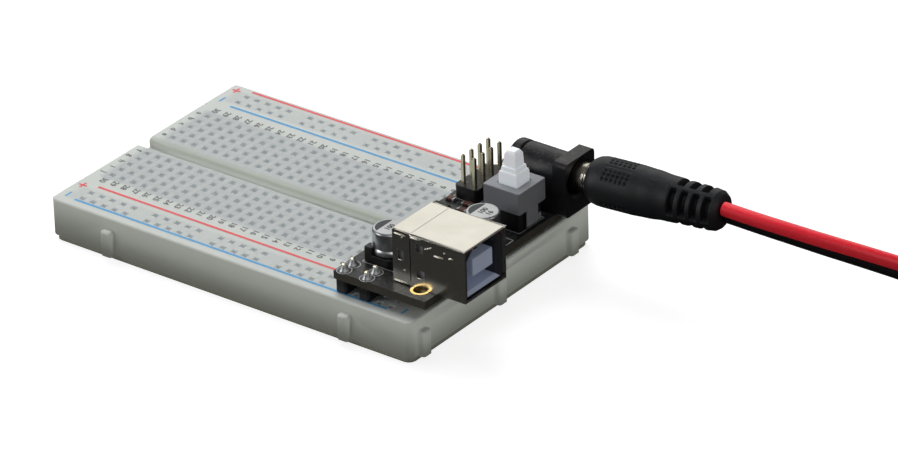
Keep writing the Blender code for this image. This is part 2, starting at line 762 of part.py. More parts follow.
def push_switch():
    """Latching switch: base with a well, body, stepped plunger and return spring."""
    centre = OUTER_END + SWITCH_PLACE
    base_top = SEAT + SWITCH_BASE_HEIGHT
    body_low = base_top + SKIN_GAP
    body_top = body_low + SWITCH_BODY_HEIGHT
    foot = PLUNGER_FOOT / 2
    well = foot + PLUNGER_FIT
    half = well + SWITCH_BASE_WALL
    bm = bmesh.new()
    add_loft(bm, square_rings(centre, [(SEAT, half), (base_top, half)]))
    base = finished("switch_base", bm, BLACK)
    hole = bmesh.new()
    floor = SEAT + SWITCH_FLOOR
    add_loft(hole, square_rings(centre, [(floor, well), (base_top + PAST, well)]))
    change(base, hole, "DIFFERENCE")

    outer = half + SWITCH_OVERHANG
    body = box(
        "switch_body",
        (centre.x - outer, centre.y - outer, body_low),
        (centre.x + outer, centre.y + outer, body_top),
        GREY,
        bevel=SWITCH_EDGE,
    )
    leg = bmesh.new()
    leg_low = body_low - SWITCH_LEG.z
    outside = centre.x + outer
    add_box(
        leg,
        (outside - SWITCH_LEG.x, centre.y - SWITCH_LEG.y / 2, leg_low),
        (outside, centre.y + SWITCH_LEG.y / 2, body_low + PAST),
    )
    change(body, leg, "UNION")
    bore = bmesh.new()
    add_loft(bore, square_rings(centre, [(leg_low, well), (body_top + PAST, well)]))
    change(body, bore, "DIFFERENCE")

    spring_low = floor + SKIN_GAP
    spring_height = PLUNGER_TRAVEL + SPRING_WIRE * (SPRING_TURNS + 1) + SKIN_GAP
    seat = spring_low + spring_height + SKIN_GAP
    step = body_top + PLUNGER_FOOT_ABOVE
    tip = PLUNGER_TIP / 2
    top = step + PLUNGER_TIP_HEIGHT
    ease = PLUNGER_EDGE
    levels = [
        (seat, foot),
        (step - ease / 2, foot),
        (step, foot - ease),
        (step, tip),
        (top - ease, tip),
        (top, tip - ease),
    ]
    bm = bmesh.new()
    add_loft(bm, square_rings(centre, levels))
    plunger = finished("switch_plunger", bm, WHITE)
    pivot = Vector((centre.x, centre.y, seat))
    plunger.data.transform(Matrix.Translation(-pivot))
    plunger.location = pivot

    return_spring(Vector((centre.x, centre.y, spring_low)), foot - SPRING_WIRE, spring_height)


def return_spring(foot, radius, height):
    """Helical spring that stands on foot, with a wire of six sides."""
    steps = 10
    sides = 6
    total = SPRING_TURNS * steps
    rings = []
    for index in range(total + 1):
        angle = 2 * math.pi * index / steps
        rise = SPRING_WIRE / 2 + (height - SPRING_WIRE) * index / total
        out = Vector((math.cos(angle), math.sin(angle), 0.0))
        middle = foot + Vector((0.0, 0.0, rise)) + out * radius
        ring = []
        for side in range(sides):
            turn = 2 * math.pi * side / sides
            across = out * math.cos(turn) + Vector((0.0, 0.0, math.sin(turn)))
            ring.append(middle + across * SPRING_WIRE / 2)
        rings.append(ring)
    bm = bmesh.new()
    add_loft(bm, rings)
    finished("switch_spring", bm, STEEL, smooth=True)


def dc_jack():
    mouth = JACK_MOUTH
    rear = mouth - JACK_LENGTH
    flange_back = mouth - JACK_FLANGE
    axis = Vector((0.0, JACK_AXIS_Y, JACK_AXIS_Z))
    half = JACK_BORE + JACK_RIM
    shell = JACK_BORE + JACK_WALL
    housing_rear = rear + JACK_CAP + GAP

    def barrel_outline():
        """Round top, straight sides and a flat foot, as (y, z)."""
        points = [(-shell, SEAT - axis.z), (shell, SEAT - axis.z)]
        arc = 10
        for step in range(arc + 1):
            angle = math.pi * step / arc
            points.append((shell * math.cos(angle), shell * math.sin(angle)))
        return points

    def barrel(bm, start, end):
        rings = [[Vector((x, axis.y + y, axis.z + z)) for y, z in barrel_outline()] for x in (start, end)]
        add_loft(bm, rings)

    made = box(
        "jack_housing",
        (flange_back, axis.y - half, SEAT),
        (mouth, axis.y + half, axis.z + JACK_BORE + JACK_TOP_RIM),
        BLACK,
        bevel=JACK_EDGE,
    )
    tube = bmesh.new()
    barrel(tube, housing_rear, flange_back + PAST)
    bmesh.ops.recalc_face_normals(tube, faces=tube.faces)
    change(made, tube, "UNION")
    bore = bmesh.new()
    back_of_bore = mouth - JACK_BORE_DEPTH
    profile = [
        (housing_rear - PAST, JACK_PIN + GAP),
        (back_of_bore, JACK_PIN + GAP),
        (back_of_bore, JACK_BORE),
        (mouth - JACK_COUNTERSINK, JACK_BORE),
        (mouth + JACK_COUNTERSINK, JACK_BORE + 2 * JACK_COUNTERSINK),
    ]
    add_turned(bore, profile, ROUND, Matrix.Translation(axis))
    change(made, bore, "DIFFERENCE")
    slot = bmesh.new()
    slot_low = axis.z - JACK_BORE - JACK_SPRING.z - 2 * GAP
    slot_half = JACK_SPRING.y / 2 + GAP
    contact_front = mouth - JACK_SPRING_RECESS
    contact_back = contact_front - JACK_SPRING.x
    add_box(
        slot,
        (contact_back - GAP, axis.y - slot_half, slot_low),
        (contact_front + GAP, axis.y + slot_half, axis.z - JACK_BORE / 2),
    )
    change(made, slot, "DIFFERENCE")
    low = slot_low + GAP
    box(
        "jack_spring_contact",
        (contact_back, axis.y - JACK_SPRING.y / 2, low),
        (contact_front, axis.y + JACK_SPRING.y / 2, low + JACK_SPRING.z),
        BRASS,
    )
    cap = bmesh.new()
    barrel(cap, rear, rear + JACK_CAP)
    finished("jack_rear_cap", cap, BLACK, smooth=True)
    tip = mouth - JACK_PIN_RECESS
    blunt = JACK_PIN / 2
    profile = [(housing_rear, JACK_PIN), (tip - blunt, JACK_PIN), (tip, JACK_PIN - blunt)]
    turned("jack_pin", profile, BRASS, Matrix.Translation(axis), 16)


def dc_plug():
    place = Matrix.Translation(PLUG_PIVOT) @ PLUG_TURN
    tip = -SLEEVE_INSERTED
    end = tip + SLEEVE_LENGTH
    edge = SLEEVE_EDGE
    profile = [(tip, SLEEVE_RADIUS - edge), (tip + edge, SLEEVE_RADIUS), (end, SLEEVE_RADIUS)]
    sleeve = turned("plug_sleeve", profile, TIN, place)
    bore = bmesh.new()
    depth = [(tip - PAST, SLEEVE_BORE), (tip + SLEEVE_BORE_DEPTH, SLEEVE_BORE)]
    add_turned(bore, depth, ROUND, place)
    change(sleeve, bore, "DIFFERENCE")

    face = PLUG_FACE
    neck = face + PLUG_GRIP_LENGTH
    radius = PLUG_RADIUS
    profile = [
        (face, radius - 0.9 * MM),
        (face + 0.5 * MM, radius - 0.2 * MM),
        (face + 1.6 * MM, radius),
        (neck - 7.0 * MM, radius),
        (neck - 2.5 * MM, (radius + RELIEF_RADII[0]) / 2),
        (neck, RELIEF_RADII[0]),
    ]
    rib = RELIEF_LENGTH / RELIEF_RIBS
    for number in range(RELIEF_RIBS):
        start = neck + number * rib
        for share, depth in ((0.12, 1.0), (0.38, 1.0), (0.55, 0.0), (0.9, 0.0)):
            along = start + share * rib
            part = (along - neck) / RELIEF_LENGTH
            outer = RELIEF_RADII[0] + (RELIEF_RADII[1] - RELIEF_RADII[0]) * part
            profile.append((along, outer - depth * RELIEF_GROOVE))
    profile.append((neck + RELIEF_LENGTH, RELIEF_RADII[1] - 0.5 * MM))
    grip = turned("plug_grip", profile, BLACK, place)
    socket = bmesh.new()
    depth = [(face - PAST, SLEEVE_RADIUS + GAP), (face + PLUG_SOCKET, SLEEVE_RADIUS + GAP)]
    add_turned(socket, depth, ROUND, place)
    change(grip, socket, "DIFFERENCE")


def smooth_route(points, step):
    """Points a fixed distance apart on a Catmull-Rom curve through the given points."""
    padded = [2 * points[0] - points[1], *points, 2 * points[-1] - points[-2]]
    fine = []
    for index in range(1, len(padded) - 2):
        before, start, end, after = padded[index - 1 : index + 3]
        for part in range(20):
            t = part / 20
            along = (end - before) * t
            bend = (2 * before - 5 * start + 4 * end - after) * t**2
            last = (3 * start - before - 3 * end + after) * t**3
            fine.append(start + (along + bend + last) / 2)
    fine.append(points[-1])
    lengths = [0.0]
    for start, end in zip(fine, fine[1:]):
        lengths.append(lengths[-1] + (end - start).length)
    count = max(2, round(lengths[-1] / step))
    spaced = []
    place = 0
    for number in range(count + 1):
        target = lengths[-1] * number / count
        while place < len(fine) - 2 and lengths[place + 1] < target:
            place += 1
        share = (target - lengths[place]) / (lengths[place + 1] - lengths[place])
        spaced.append(fine[place].lerp(fine[place + 1], min(share, 1.0)))
    return spaced


def lead():
    exit_along = PLUG_FACE + PLUG_GRIP_LENGTH + RELIEF_LENGTH + GAP
    place = Matrix.Translation(PLUG_PIVOT) @ PLUG_TURN
    start = place @ Vector((exit_along, 0.0, 0.0))
    points = smooth_route([start, *LEAD_ROUTE], LEAD_STEP)
    curve = bpy.data.curves.new("lead", "CURVE")
    curve.dimensions = "3D"
    curve.bevel_depth = LEAD_WIDTH / 2
    curve.bevel_resolution = 2
    curve.use_fill_caps = True
    spline = curve.splines.new("POLY")
    spline.points.add(len(points) - 1)
    for knot, point in zip(spline.points, points):
        knot.co = (*point, 1.0)
    curve.materials.append(RED)
    made = bpy.data.objects.new("lead", curve)
    bpy.context.scene.collection.objects.link(made)


def lead_coil():
    """The wound turns as one ring, and the strap round them."""
    inner, outer = COIL_RADII
    strap_wide, strap_thick = COIL_TIE
    low = strap_thick + SKIN_GAP
    high = low + LEAD_WIDTH
    ease = COIL_EDGE
    section = [
        (inner + ease, low),
        (outer - ease, low),
        (outer, low + ease),
        (outer, high - ease),
        (outer - ease, high),
        (inner + ease, high),
        (inner, high - ease),
        (inner, low + ease),
    ]
    sides = 48
    bm = bmesh.new()
    rings = []
    for side in range(sides):
        angle = 2 * math.pi * side / sides
        out = Vector((math.cos(angle), math.sin(angle), 0.0))
        middle = Vector((*COIL_CENTRE, 0.0))
        rings.append([bm.verts.new(middle + out * radius + Vector((0.0, 0.0, z))) for radius, z in section])
    for index, ring in enumerate(rings):
        following = rings[(index + 1) % sides]
        for corner in range(len(section)):
            after = (corner + 1) % len(section)
            bm.faces.new((ring[corner], ring[after], following[after], following[corner]))
    finished("lead_coil", bm, RED, smooth=True)

    middle = (inner + outer) / 2
    half = (outer - inner) / 2 + GAP
    turn = Matrix.Translation((*COIL_CENTRE, 0.0)) @ Matrix.Rotation(COIL_TIE_ANGLE, 4, "Z")
    strap = bmesh.new()
    rings = []
    for along in (-strap_wide / 2, strap_wide / 2):
        outline = [
            (middle - half - strap_thick, 0.0),
            (middle + half + strap_thick, 0.0),
            (middle + half + strap_thick, high + SKIN_GAP + strap_thick),
            (middle - half - strap_thick, high + SKIN_GAP + strap_thick),
        ]
        rings.append([turn @ Vector((out, along, z)) for out, z in outline])
    add_loft(strap, rings)
    made = finished("coil_tie", strap, FABRIC)
    window = bmesh.new()
    rings = []
    for along in (-strap_wide, strap_wide):
        outline = [
            (middle - half, strap_thick),
            (middle + half, strap_thick),
            (middle + half, high + SKIN_GAP),
            (middle - half, high + SKIN_GAP),
        ]
        rings.append([turn @ Vector((out, along, z)) for out, z in outline])
    add_loft(window, rings)
    bmesh.ops.recalc_face_normals(window, faces=window.faces)
    change(made, window, "DIFFERENCE")


def regulators():
    """Two voltage regulators and the power light, behind the USB socket."""
    for number, offset in enumerate(REGULATOR_PLACES, 1):
        low = Vector((*(OUTER_END + offset), SEAT))
        box(f"regulator_{number}", low, low + REGULATOR_SIZE, BLACK, bevel=0.2 * MM)
    low = Vector((*(OUTER_END + LIGHT_PLACE), SEAT))
    box("power_light", low, low + LIGHT_SIZE, RED_LENS)


for leftover in list(bpy.data.objects):
    bpy.data.objects.remove(leftover, do_unlink=True)

CUTTER = material("cutter", (0.5, 0.5, 0.5), 0.8)
IVORY = material("ivory_plastic", (0.80, 0.81, 0.76), 0.45)
FOAM = material("foam", (0.86, 0.85, 0.80), 0.9)
PAPER = material("paper", (0.90, 0.86, 0.68), 0.7)
BRONZE = material("phosphor_bronze", (0.72, 0.65, 0.52), 0.35, 1.0)
BRASS = material("brass", (0.72, 0.62, 0.40), 0.3, 1.0)
BLACK = material("black_plastic", (0.02, 0.02, 0.022), 0.5)
SOLDER_MASK = material("solder_mask", (0.015, 0.015, 0.017), 0.4)
TIN = material("tinned_steel", (0.78, 0.76, 0.70), 0.3, 1.0)
INSULATOR = material("insulator", (0.05, 0.06, 0.08), 0.5)
ALUMINIUM = material("aluminium", (0.62, 0.64, 0.66), 0.35, 1.0)
GREY = material("grey_plastic", (0.22, 0.24, 0.27), 0.5)
WHITE = material("white_plastic", (0.80, 0.82, 0.88), 0.4)
STEEL = material("spring_steel", (0.55, 0.55, 0.55), 0.3, 1.0)
RED = material("red_pvc", (0.75, 0.03, 0.05), 0.35)
FABRIC = material("black_strap", (0.03, 0.03, 0.03), 0.9)
RED_LENS = material("red_lens", (0.7, 0.1, 0.08), 0.2)

housing()
backing()
clips()
circuit_board()
rail_headers()
selector_header()
usb_socket()
capacitors()
push_switch()
dc_jack()
dc_plug()
regulators()
lead()
lead_coil()
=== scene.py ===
"""Looks of a half-size solderless breadboard with a plug-in power module and a DC lead.

Everything is in metres in the model's own frame: the origin is the centre of the board's underside,
+X points to the end that carries the power module and +Z is up. Sizes are in millimetres times MM.
"""

import json
import math

import bmesh
import bpy
from mathutils import Euler, Matrix, Vector


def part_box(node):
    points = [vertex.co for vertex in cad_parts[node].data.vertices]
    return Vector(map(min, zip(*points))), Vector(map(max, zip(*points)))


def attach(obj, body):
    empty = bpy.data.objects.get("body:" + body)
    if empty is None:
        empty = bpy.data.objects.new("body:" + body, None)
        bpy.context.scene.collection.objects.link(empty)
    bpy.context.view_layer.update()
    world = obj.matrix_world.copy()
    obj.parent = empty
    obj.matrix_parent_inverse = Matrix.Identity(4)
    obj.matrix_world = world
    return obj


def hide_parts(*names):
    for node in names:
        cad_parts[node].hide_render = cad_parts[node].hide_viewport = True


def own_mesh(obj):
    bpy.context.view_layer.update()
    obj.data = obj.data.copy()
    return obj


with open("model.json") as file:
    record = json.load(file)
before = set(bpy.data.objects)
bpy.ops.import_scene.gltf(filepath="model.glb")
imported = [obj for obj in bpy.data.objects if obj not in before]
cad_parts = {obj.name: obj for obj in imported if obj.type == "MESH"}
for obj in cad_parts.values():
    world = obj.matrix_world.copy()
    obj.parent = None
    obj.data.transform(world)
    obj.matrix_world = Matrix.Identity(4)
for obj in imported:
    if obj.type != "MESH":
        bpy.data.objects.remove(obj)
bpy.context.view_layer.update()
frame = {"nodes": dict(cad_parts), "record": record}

MM = 0.001
PITCH = 2.54 * MM
GRID_SHIFT = -0.8 * MM  # centre of the hole grid
COLUMNS = 30
COLUMN_X = [GRID_SHIFT + (column - (COLUMNS - 1) / 2) * PITCH for column in range(COLUMNS)]
BUS_X = [
    GRID_SHIFT + (6 * group + hole - 14) * PITCH for group in range(5) for hole in range(5)
]
BANK_ROWS = [1.5, 2.5, 3.5, 4.5, 5.5]  # in pitches from the centre line
BUS_ROWS = [8.5, 9.5]

HOUSING_LOW, HOUSING_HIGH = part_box("housing")
TAB_REACH = 1.4 * MM
BOARD_END = HOUSING_HIGH.x - TAB_REACH
BOARD_SIDE = HOUSING_HIGH.y
BOARD_TOP = HOUSING_HIGH.z
PCB_LOW, PCB_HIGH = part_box("circuit_board")
SKIN = 0.02 * MM  # how far printing stands off the surface under it


# ---------------------------------------------------------------- node groups and materials


def tint(red, green, blue):
    """A display colour from 0 to 255 as the linear colour that shaders take."""
    linear = []
    for value in (red, green, blue):
        share = value / 255
        linear.append(share / 12.92 if share <= 0.04045 else ((share + 0.055) / 1.055) ** 2.4)
    return (*linear, 1.0)


def add(tree, kind, inputs=(), **settings):
    """Place a node, with (socket, value or other node's socket) pairs."""
    made = tree.nodes.new(kind)
    for name, value in settings.items():
        setattr(made, name, value)
    for key, value in inputs:
        if isinstance(value, bpy.types.NodeSocket):
            tree.links.new(value, made.inputs[key])
        else:
            made.inputs[key].default_value = value
    return made


def new_group(name, inputs, outputs):
    tree = bpy.data.node_groups.new(name, "ShaderNodeTree")
    kinds = {"value": "NodeSocketFloat", "colour": "NodeSocketColor", "vector": "NodeSocketVector"}
    for label, kind, default in inputs:
        socket = tree.interface.new_socket(label, in_out="INPUT", socket_type=kinds[kind])
        socket.default_value = default
    for label, kind in outputs:
        tree.interface.new_socket(label, in_out="OUTPUT", socket_type=kinds[kind])
    return tree, tree.nodes.new("NodeGroupInput").outputs, tree.nodes.new("NodeGroupOutput").inputs


def math_node(tree, operation, first, second=0.0, clamp=False):
    made = add(tree, "ShaderNodeMath", ((0, first), (1, second)), operation=operation)
    made.use_clamp = clamp
    return made.outputs[0]


def blend_colour(tree, share, first, second, mode="MIX"):
    made = tree.nodes.new("ShaderNodeMix")
    made.data_type = "RGBA"
    made.blend_type = mode
    for socket, value in ((0, share), (6, first), (7, second)):
        if isinstance(value, bpy.types.NodeSocket):
            tree.links.new(value, made.inputs[socket])
        else:
            made.inputs[socket].default_value = value
    return made.outputs[2]


def make_uneven_tone():
    """Slow cloudy drift between two colours, with a matching drift of roughness."""
    tree, given, out = new_group(
        "uneven_tone",
        [
            ("Colour", "colour", (0.5, 0.5, 0.5, 1)),
            ("Shade", "colour", (0.4, 0.4, 0.4, 1)),
            ("Scale", "value", 120.0),
            ("Roughness", "value", 0.4),
            ("Spread", "value", 0.08),
        ],
        [("Colour", "colour"), ("Roughness", "value")],
    )
    place = add(tree, "ShaderNodeTexCoord").outputs["Object"]
    cloud = add(
        tree,
        "ShaderNodeTexNoise",
        (("Vector", place), ("Scale", given["Scale"]), ("Detail", 4.0), ("Roughness", 0.6)),
    )
    colour = blend_colour(tree, cloud.outputs["Fac"], given["Colour"], given["Shade"])
    centred = math_node(tree, "SUBTRACT", cloud.outputs["Fac"], 0.5)
    drift = math_node(tree, "MULTIPLY", centred, given["Spread"])
    rough = math_node(tree, "ADD", given["Roughness"], drift, clamp=True)
    tree.links.new(colour, out["Colour"])
    tree.links.new(rough, out["Roughness"])
    return tree


def make_moulded_grain():
    """Fine pebbled skin left by a mould."""
    tree, given, out = new_group(
        "moulded_grain",
        [("Scale", "value", 2500.0), ("Depth", "value", 0.00002)],
        [("Normal", "vector")],
    )
    place = add(tree, "ShaderNodeTexCoord").outputs["Object"]
    fine = add(
        tree, "ShaderNodeTexNoise", (("Vector", place), ("Scale", given["Scale"]), ("Detail", 3.0))
    )
    coarse_scale = math_node(tree, "MULTIPLY", given["Scale"], 0.28)
    coarse = add(tree, "ShaderNodeTexNoise", (("Vector", place), ("Scale", coarse_scale)))
    height = math_node(tree, "ADD", fine.outputs["Fac"], coarse.outputs["Fac"])
    bump = add(
        tree,
        "ShaderNodeBump",
        (("Strength", 0.6), ("Distance", given["Depth"]), ("Height", height)),
    )
    tree.links.new(bump.outputs["Normal"], out["Normal"])
    return tree


def make_worn_edges():
    """Mask that is bright along rubbed corners, broken up by noise."""
    tree, given, out = new_group(
        "worn_edges",
        [("Width", "value", 0.0002), ("Amount", "value", 0.5)],
        [("Mask", "value")],
    )
    round_normal = add(tree, "ShaderNodeBevel", (("Radius", given["Width"]),), samples=4)
    flat_normal = add(tree, "ShaderNodeNewGeometry").outputs["Normal"]
    facing = add(
        tree,
        "ShaderNodeVectorMath",
        ((0, round_normal.outputs[0]), (1, flat_normal)),
        operation="DOT_PRODUCT",
    )
    bent = math_node(tree, "SUBTRACT", 1.0, facing.outputs["Value"])
    sharp = math_node(tree, "MULTIPLY", bent, 6.0, clamp=True)
    place = add(tree, "ShaderNodeTexCoord").outputs["Object"]
    patch = add(tree, "ShaderNodeTexNoise", (("Vector", place), ("Scale", 900.0), ("Detail", 5.0)))
    broken = math_node(tree, "MULTIPLY", sharp, patch.outputs["Fac"])
    mask = math_node(tree, "MULTIPLY", broken, given["Amount"], clamp=True)
    tree.links.new(mask, out["Mask"])
    return tree


def make_settled_dust():
    """Mask of fine dust, on faces that look up."""
    tree, given, out = new_group(
        "settled_dust", [("Amount", "value", 0.1), ("Scale", "value", 1800.0)], [("Mask", "value")]
    )
    normal = add(tree, "ShaderNodeNewGeometry").outputs["Normal"]
    split = add(tree, "ShaderNodeSeparateXYZ", ((0, normal),))
    upward = math_node(tree, "MULTIPLY", split.outputs["Z"], 1.0, clamp=True)
    place = add(tree, "ShaderNodeTexCoord").outputs["Object"]
    specks = add(
        tree, "ShaderNodeTexNoise", (("Vector", place), ("Scale", given["Scale"]), ("Detail", 6.0))
    )
    picked = add(
        tree,
        "ShaderNodeMapRange",
        (("Value", specks.outputs["Fac"]), ("From Min", 0.52), ("From Max", 0.75)),
    )
    lit = math_node(tree, "MULTIPLY", upward, picked.outputs[0])
    mask = math_node(tree, "MULTIPLY", lit, given["Amount"], clamp=True)
    tree.links.new(mask, out["Mask"])
    return tree


def make_drawn_lines():
    """Fine parallel lines of drawn or rolled metal, along a chosen axis."""
    tree, given, out = new_group(
        "drawn_lines",
        [("Stretch", "vector", (1.0, 30.0, 30.0)), ("Depth", "value", 0.00001)],
        [("Normal", "vector"), ("Value", "value")],
    )
    place = add(tree, "ShaderNodeTexCoord").outputs["Object"]
    pulled = add(
        tree, "ShaderNodeVectorMath", ((0, place), (1, given["Stretch"])), operation="MULTIPLY"
    )
    lines = add(
        tree,
        "ShaderNodeTexNoise",
        (("Vector", pulled.outputs[0]), ("Scale", 220.0), ("Detail", 5.0), ("Roughness", 0.7)),
    )
    bump = add(
        tree,
        "ShaderNodeBump",
        (("Strength", 0.5), ("Distance", given["Depth"]), ("Height", lines.outputs["Fac"])),
    )
    tree.links.new(bump.outputs["Normal"], out["Normal"])
    tree.links.new(lines.outputs["Fac"], out["Value"])
    return tree


UNEVEN_TONE = make_uneven_tone()
MOULDED_GRAIN = make_moulded_grain()
WORN_EDGES = make_worn_edges()
SETTLED_DUST = make_settled_dust()
DRAWN_LINES = make_drawn_lines()
DUST_COLOUR = tint(176, 172, 162)


def new_material(name, display):
    made = bpy.data.materials.new(name)
    made.use_nodes = True
    made.diffuse_color = display
    tree = made.node_tree
    return made, tree, tree.nodes["Principled BSDF"]


def place_group(tree, group, inputs=()):
    made = tree.nodes.new("ShaderNodeGroup")
    made.node_tree = group
    for key, value in inputs:
        if isinstance(value, bpy.types.NodeSocket):
            tree.links.new(value, made.inputs[key])
        else:
            made.inputs[key].default_value = value
    return made.outputs


def toned(tree, colour, shade, scale, roughness, spread=0.08):
    """Place the uneven tone in a material."""
    values = (
        ("Colour", colour),
        ("Shade", shade),
        ("Scale", scale),
        ("Roughness", roughness),
        ("Spread", spread),
    )
    return place_group(tree, UNEVEN_TONE, values)


def moulding(
    name,
    colour,
    shade,
    roughness,
    spread=0.1,
    tone=150.0,
    grain=2600.0,
    depth=0.00002,
    wear=0.3,
    wear_colour=None,
    dust=0.12,
    **plain,
):
    """A moulded plastic or rubber: drift of tone, mould grain, rubbed edges and settled dust."""
    made, tree, shader = new_material(name, colour)
    surface = toned(tree, colour, shade, tone, roughness, spread)
    skin = place_group(tree, MOULDED_GRAIN, (("Scale", grain), ("Depth", depth)))
    worn = place_group(tree, WORN_EDGES, (("Amount", wear),))
    dusty = place_group(tree, SETTLED_DUST, (("Amount", dust),))
    rubbed = blend_colour(tree, worn["Mask"], surface["Colour"], wear_colour or shade)
    settled = blend_colour(tree, dusty["Mask"], rubbed, DUST_COLOUR)
    tree.links.new(settled, shader.inputs["Base Color"])
    dulled = math_node(tree, "MULTIPLY", dusty["Mask"], 0.5)
    rough = math_node(tree, "ADD", surface["Roughness"], dulled, clamp=True)
    tree.links.new(rough, shader.inputs["Roughness"])
    tree.links.new(skin["Normal"], shader.inputs["Normal"])
    for socket, value in plain.items():
        shader.inputs[socket.replace("_", " ")].default_value = value
    return made


def metal(
    name,
    colour,
    shade,
    roughness,
    spread=0.15,
    stretch=(1.0, 30.0, 30.0),
    depth=0.000008,
    tone=250.0,
):
    """A drawn, rolled or plated metal: fine lines, cloudy tarnish and brighter rubbed edges."""
    made, tree, shader = new_material(name, colour)
    surface = toned(tree, colour, shade, tone, roughness, spread)
    lines = place_group(tree, DRAWN_LINES, (("Stretch", stretch), ("Depth", depth)))
    worn = place_group(tree, WORN_EDGES, (("Amount", 0.5),))
    streaked = blend_colour(tree, 0.25, surface["Colour"], lines["Value"], "SOFT_LIGHT")
    bright = blend_colour(tree, worn["Mask"], streaked, colour)
    tree.links.new(bright, shader.inputs["Base Color"])
    tree.links.new(surface["Roughness"], shader.inputs["Roughness"])
    tree.links.new(lines["Normal"], shader.inputs["Normal"])
    shader.inputs["Metallic"].default_value = 1.0
    return made


def ranged(tree, value, low, high):
    """0 where the value is at low and 1 where it is at high."""
    return add(
        tree, "ShaderNodeMapRange", (("Value", value), ("From Min", low), ("From Max", high))
    ).outputs[0]


def band(tree, coordinate, centre, half, soft):
    """1 within half of a line, falling to 0 over a soft edge."""
    offset = math_node(tree, "SUBTRACT", coordinate, centre)
    return ranged(tree, math_node(tree, "ABSOLUTE", offset), half + soft, half)


def clip_shadow(tree, place):
    """Where hidden contact clips cool and darken the milky top, with paler ribs between columns."""
    x, y = place.outputs["X"], place.outputs["Y"]
    away = math_node(tree, "ABSOLUTE", y)
    bank = band(tree, away, 3.5 * PITCH, 2.5 * PITCH, 1.0 * MM)
    bus = math_node(tree, "MULTIPLY", band(tree, away, 9.0 * PITCH, 1.9 * MM, 0.9 * MM), 0.5)
    rows = math_node(tree, "ADD", bank, bus)
    ends = band(tree, x, GRID_SHIFT, 37.8 * MM, 1.2 * MM)
    field = math_node(tree, "MULTIPLY", rows, ends)
    shifted = math_node(tree, "SUBTRACT", x, COLUMN_X[0] - PITCH / 2)
    counted = math_node(tree, "DIVIDE", shifted, PITCH)
    from_rib = math_node(tree, "PINGPONG", counted, 0.5)
    rib = math_node(tree, "MULTIPLY", ranged(tree, from_rib, 0.22, 0.06), 0.16)
    return math_node(tree, "MULTIPLY", field, math_node(tree, "SUBTRACT", 1.0, rib))


def ivory_plastic():
    """Milky board plastic: cool over its clips, with painted shade that turns its sides olive grey
    towards their foot, and a painted glow on its sides.
    """
    top = tint(209, 213, 207)
    made, tree, shader = new_material("ivory_plastic", top)
    surface = toned(tree, top, tint(202, 207, 204), 45.0, 0.42, 0.12)
    coordinate = add(tree, "ShaderNodeTexCoord").outputs["Object"]
    place = add(tree, "ShaderNodeSeparateXYZ", ((0, coordinate),))
    shadowed = blend_colour(
        tree, clip_shadow(tree, place), surface["Colour"], tint(180, 185, 186)
    )
    # Painted shade: on faces that don't look up, the colour darkens to olive grey towards the foot
    # of the sides, so cloudy is the drifting tone under this painted shade.
    rise = ranged(tree, place.outputs["Z"], HOUSING_LOW.z, BOARD_TOP)
    painted_side_shade = add(tree, "ShaderNodeValToRGB", (("Fac", rise),))
    painted_side_shade.color_ramp.interpolation = "EASE"
    painted_side_shade.color_ramp.elements[0].color = tint(146, 148, 138)
    painted_side_shade.color_ramp.elements[1].color = tint(196, 199, 190)
    cloudy = blend_colour(tree, 0.35, painted_side_shade.outputs["Color"], surface["Colour"], "MULTIPLY")
    normal = add(tree, "ShaderNodeNewGeometry").outputs["Normal"]
    facing = add(tree, "ShaderNodeSeparateXYZ", ((0, normal),))
    upward = math_node(tree, "MULTIPLY", facing.outputs["Z"], 1.0, clamp=True)
    body = blend_colour(tree, upward, cloudy, shadowed)
    skin = place_group(tree, MOULDED_GRAIN, (("Scale", 1400.0), ("Depth", 0.00002)))
    worn = place_group(tree, WORN_EDGES, (("Amount", 0.25), ("Width", 0.0003)))
    dusty = place_group(tree, SETTLED_DUST, (("Amount", 0.1),))
    rubbed = blend_colour(tree, worn["Mask"], body, tint(226, 230, 222))
    settled = blend_colour(tree, dusty["Mask"], rubbed, DUST_COLOUR)
    tree.links.new(settled, shader.inputs["Base Color"])
    tree.links.new(surface["Roughness"], shader.inputs["Roughness"])
    tree.links.new(skin["Normal"], shader.inputs["Normal"])
    # Painted light: the sides glow, more towards the top and most on faces that look towards +X,
    # while the top does not glow; this glow stands in for light carried through the plastic.
    painted_side_glow = blend_colour(tree, rise, (0.085, 0.088, 0.076, 1), (0.125, 0.134, 0.122, 1))
    endward = math_node(tree, "MULTIPLY", facing.outputs["X"], 1.0, clamp=True)
    painted_end_glow = blend_colour(tree, endward, painted_side_glow, (0.165, 0.172, 0.155, 1))
    glow = blend_colour(tree, upward, painted_end_glow, (0.0, 0.0, 0.0, 1))
    tree.links.new(glow, shader.inputs["Emission Color"])
    shader.inputs["Emission Strength"].default_value = 1.0
    shader.inputs["Subsurface Weight"].default_value = 0.35
    shader.inputs["Subsurface Radius"].default_value = (1.0, 1.0, 0.9)
    shader.inputs["Subsurface Scale"].default_value = 0.0015
    return made


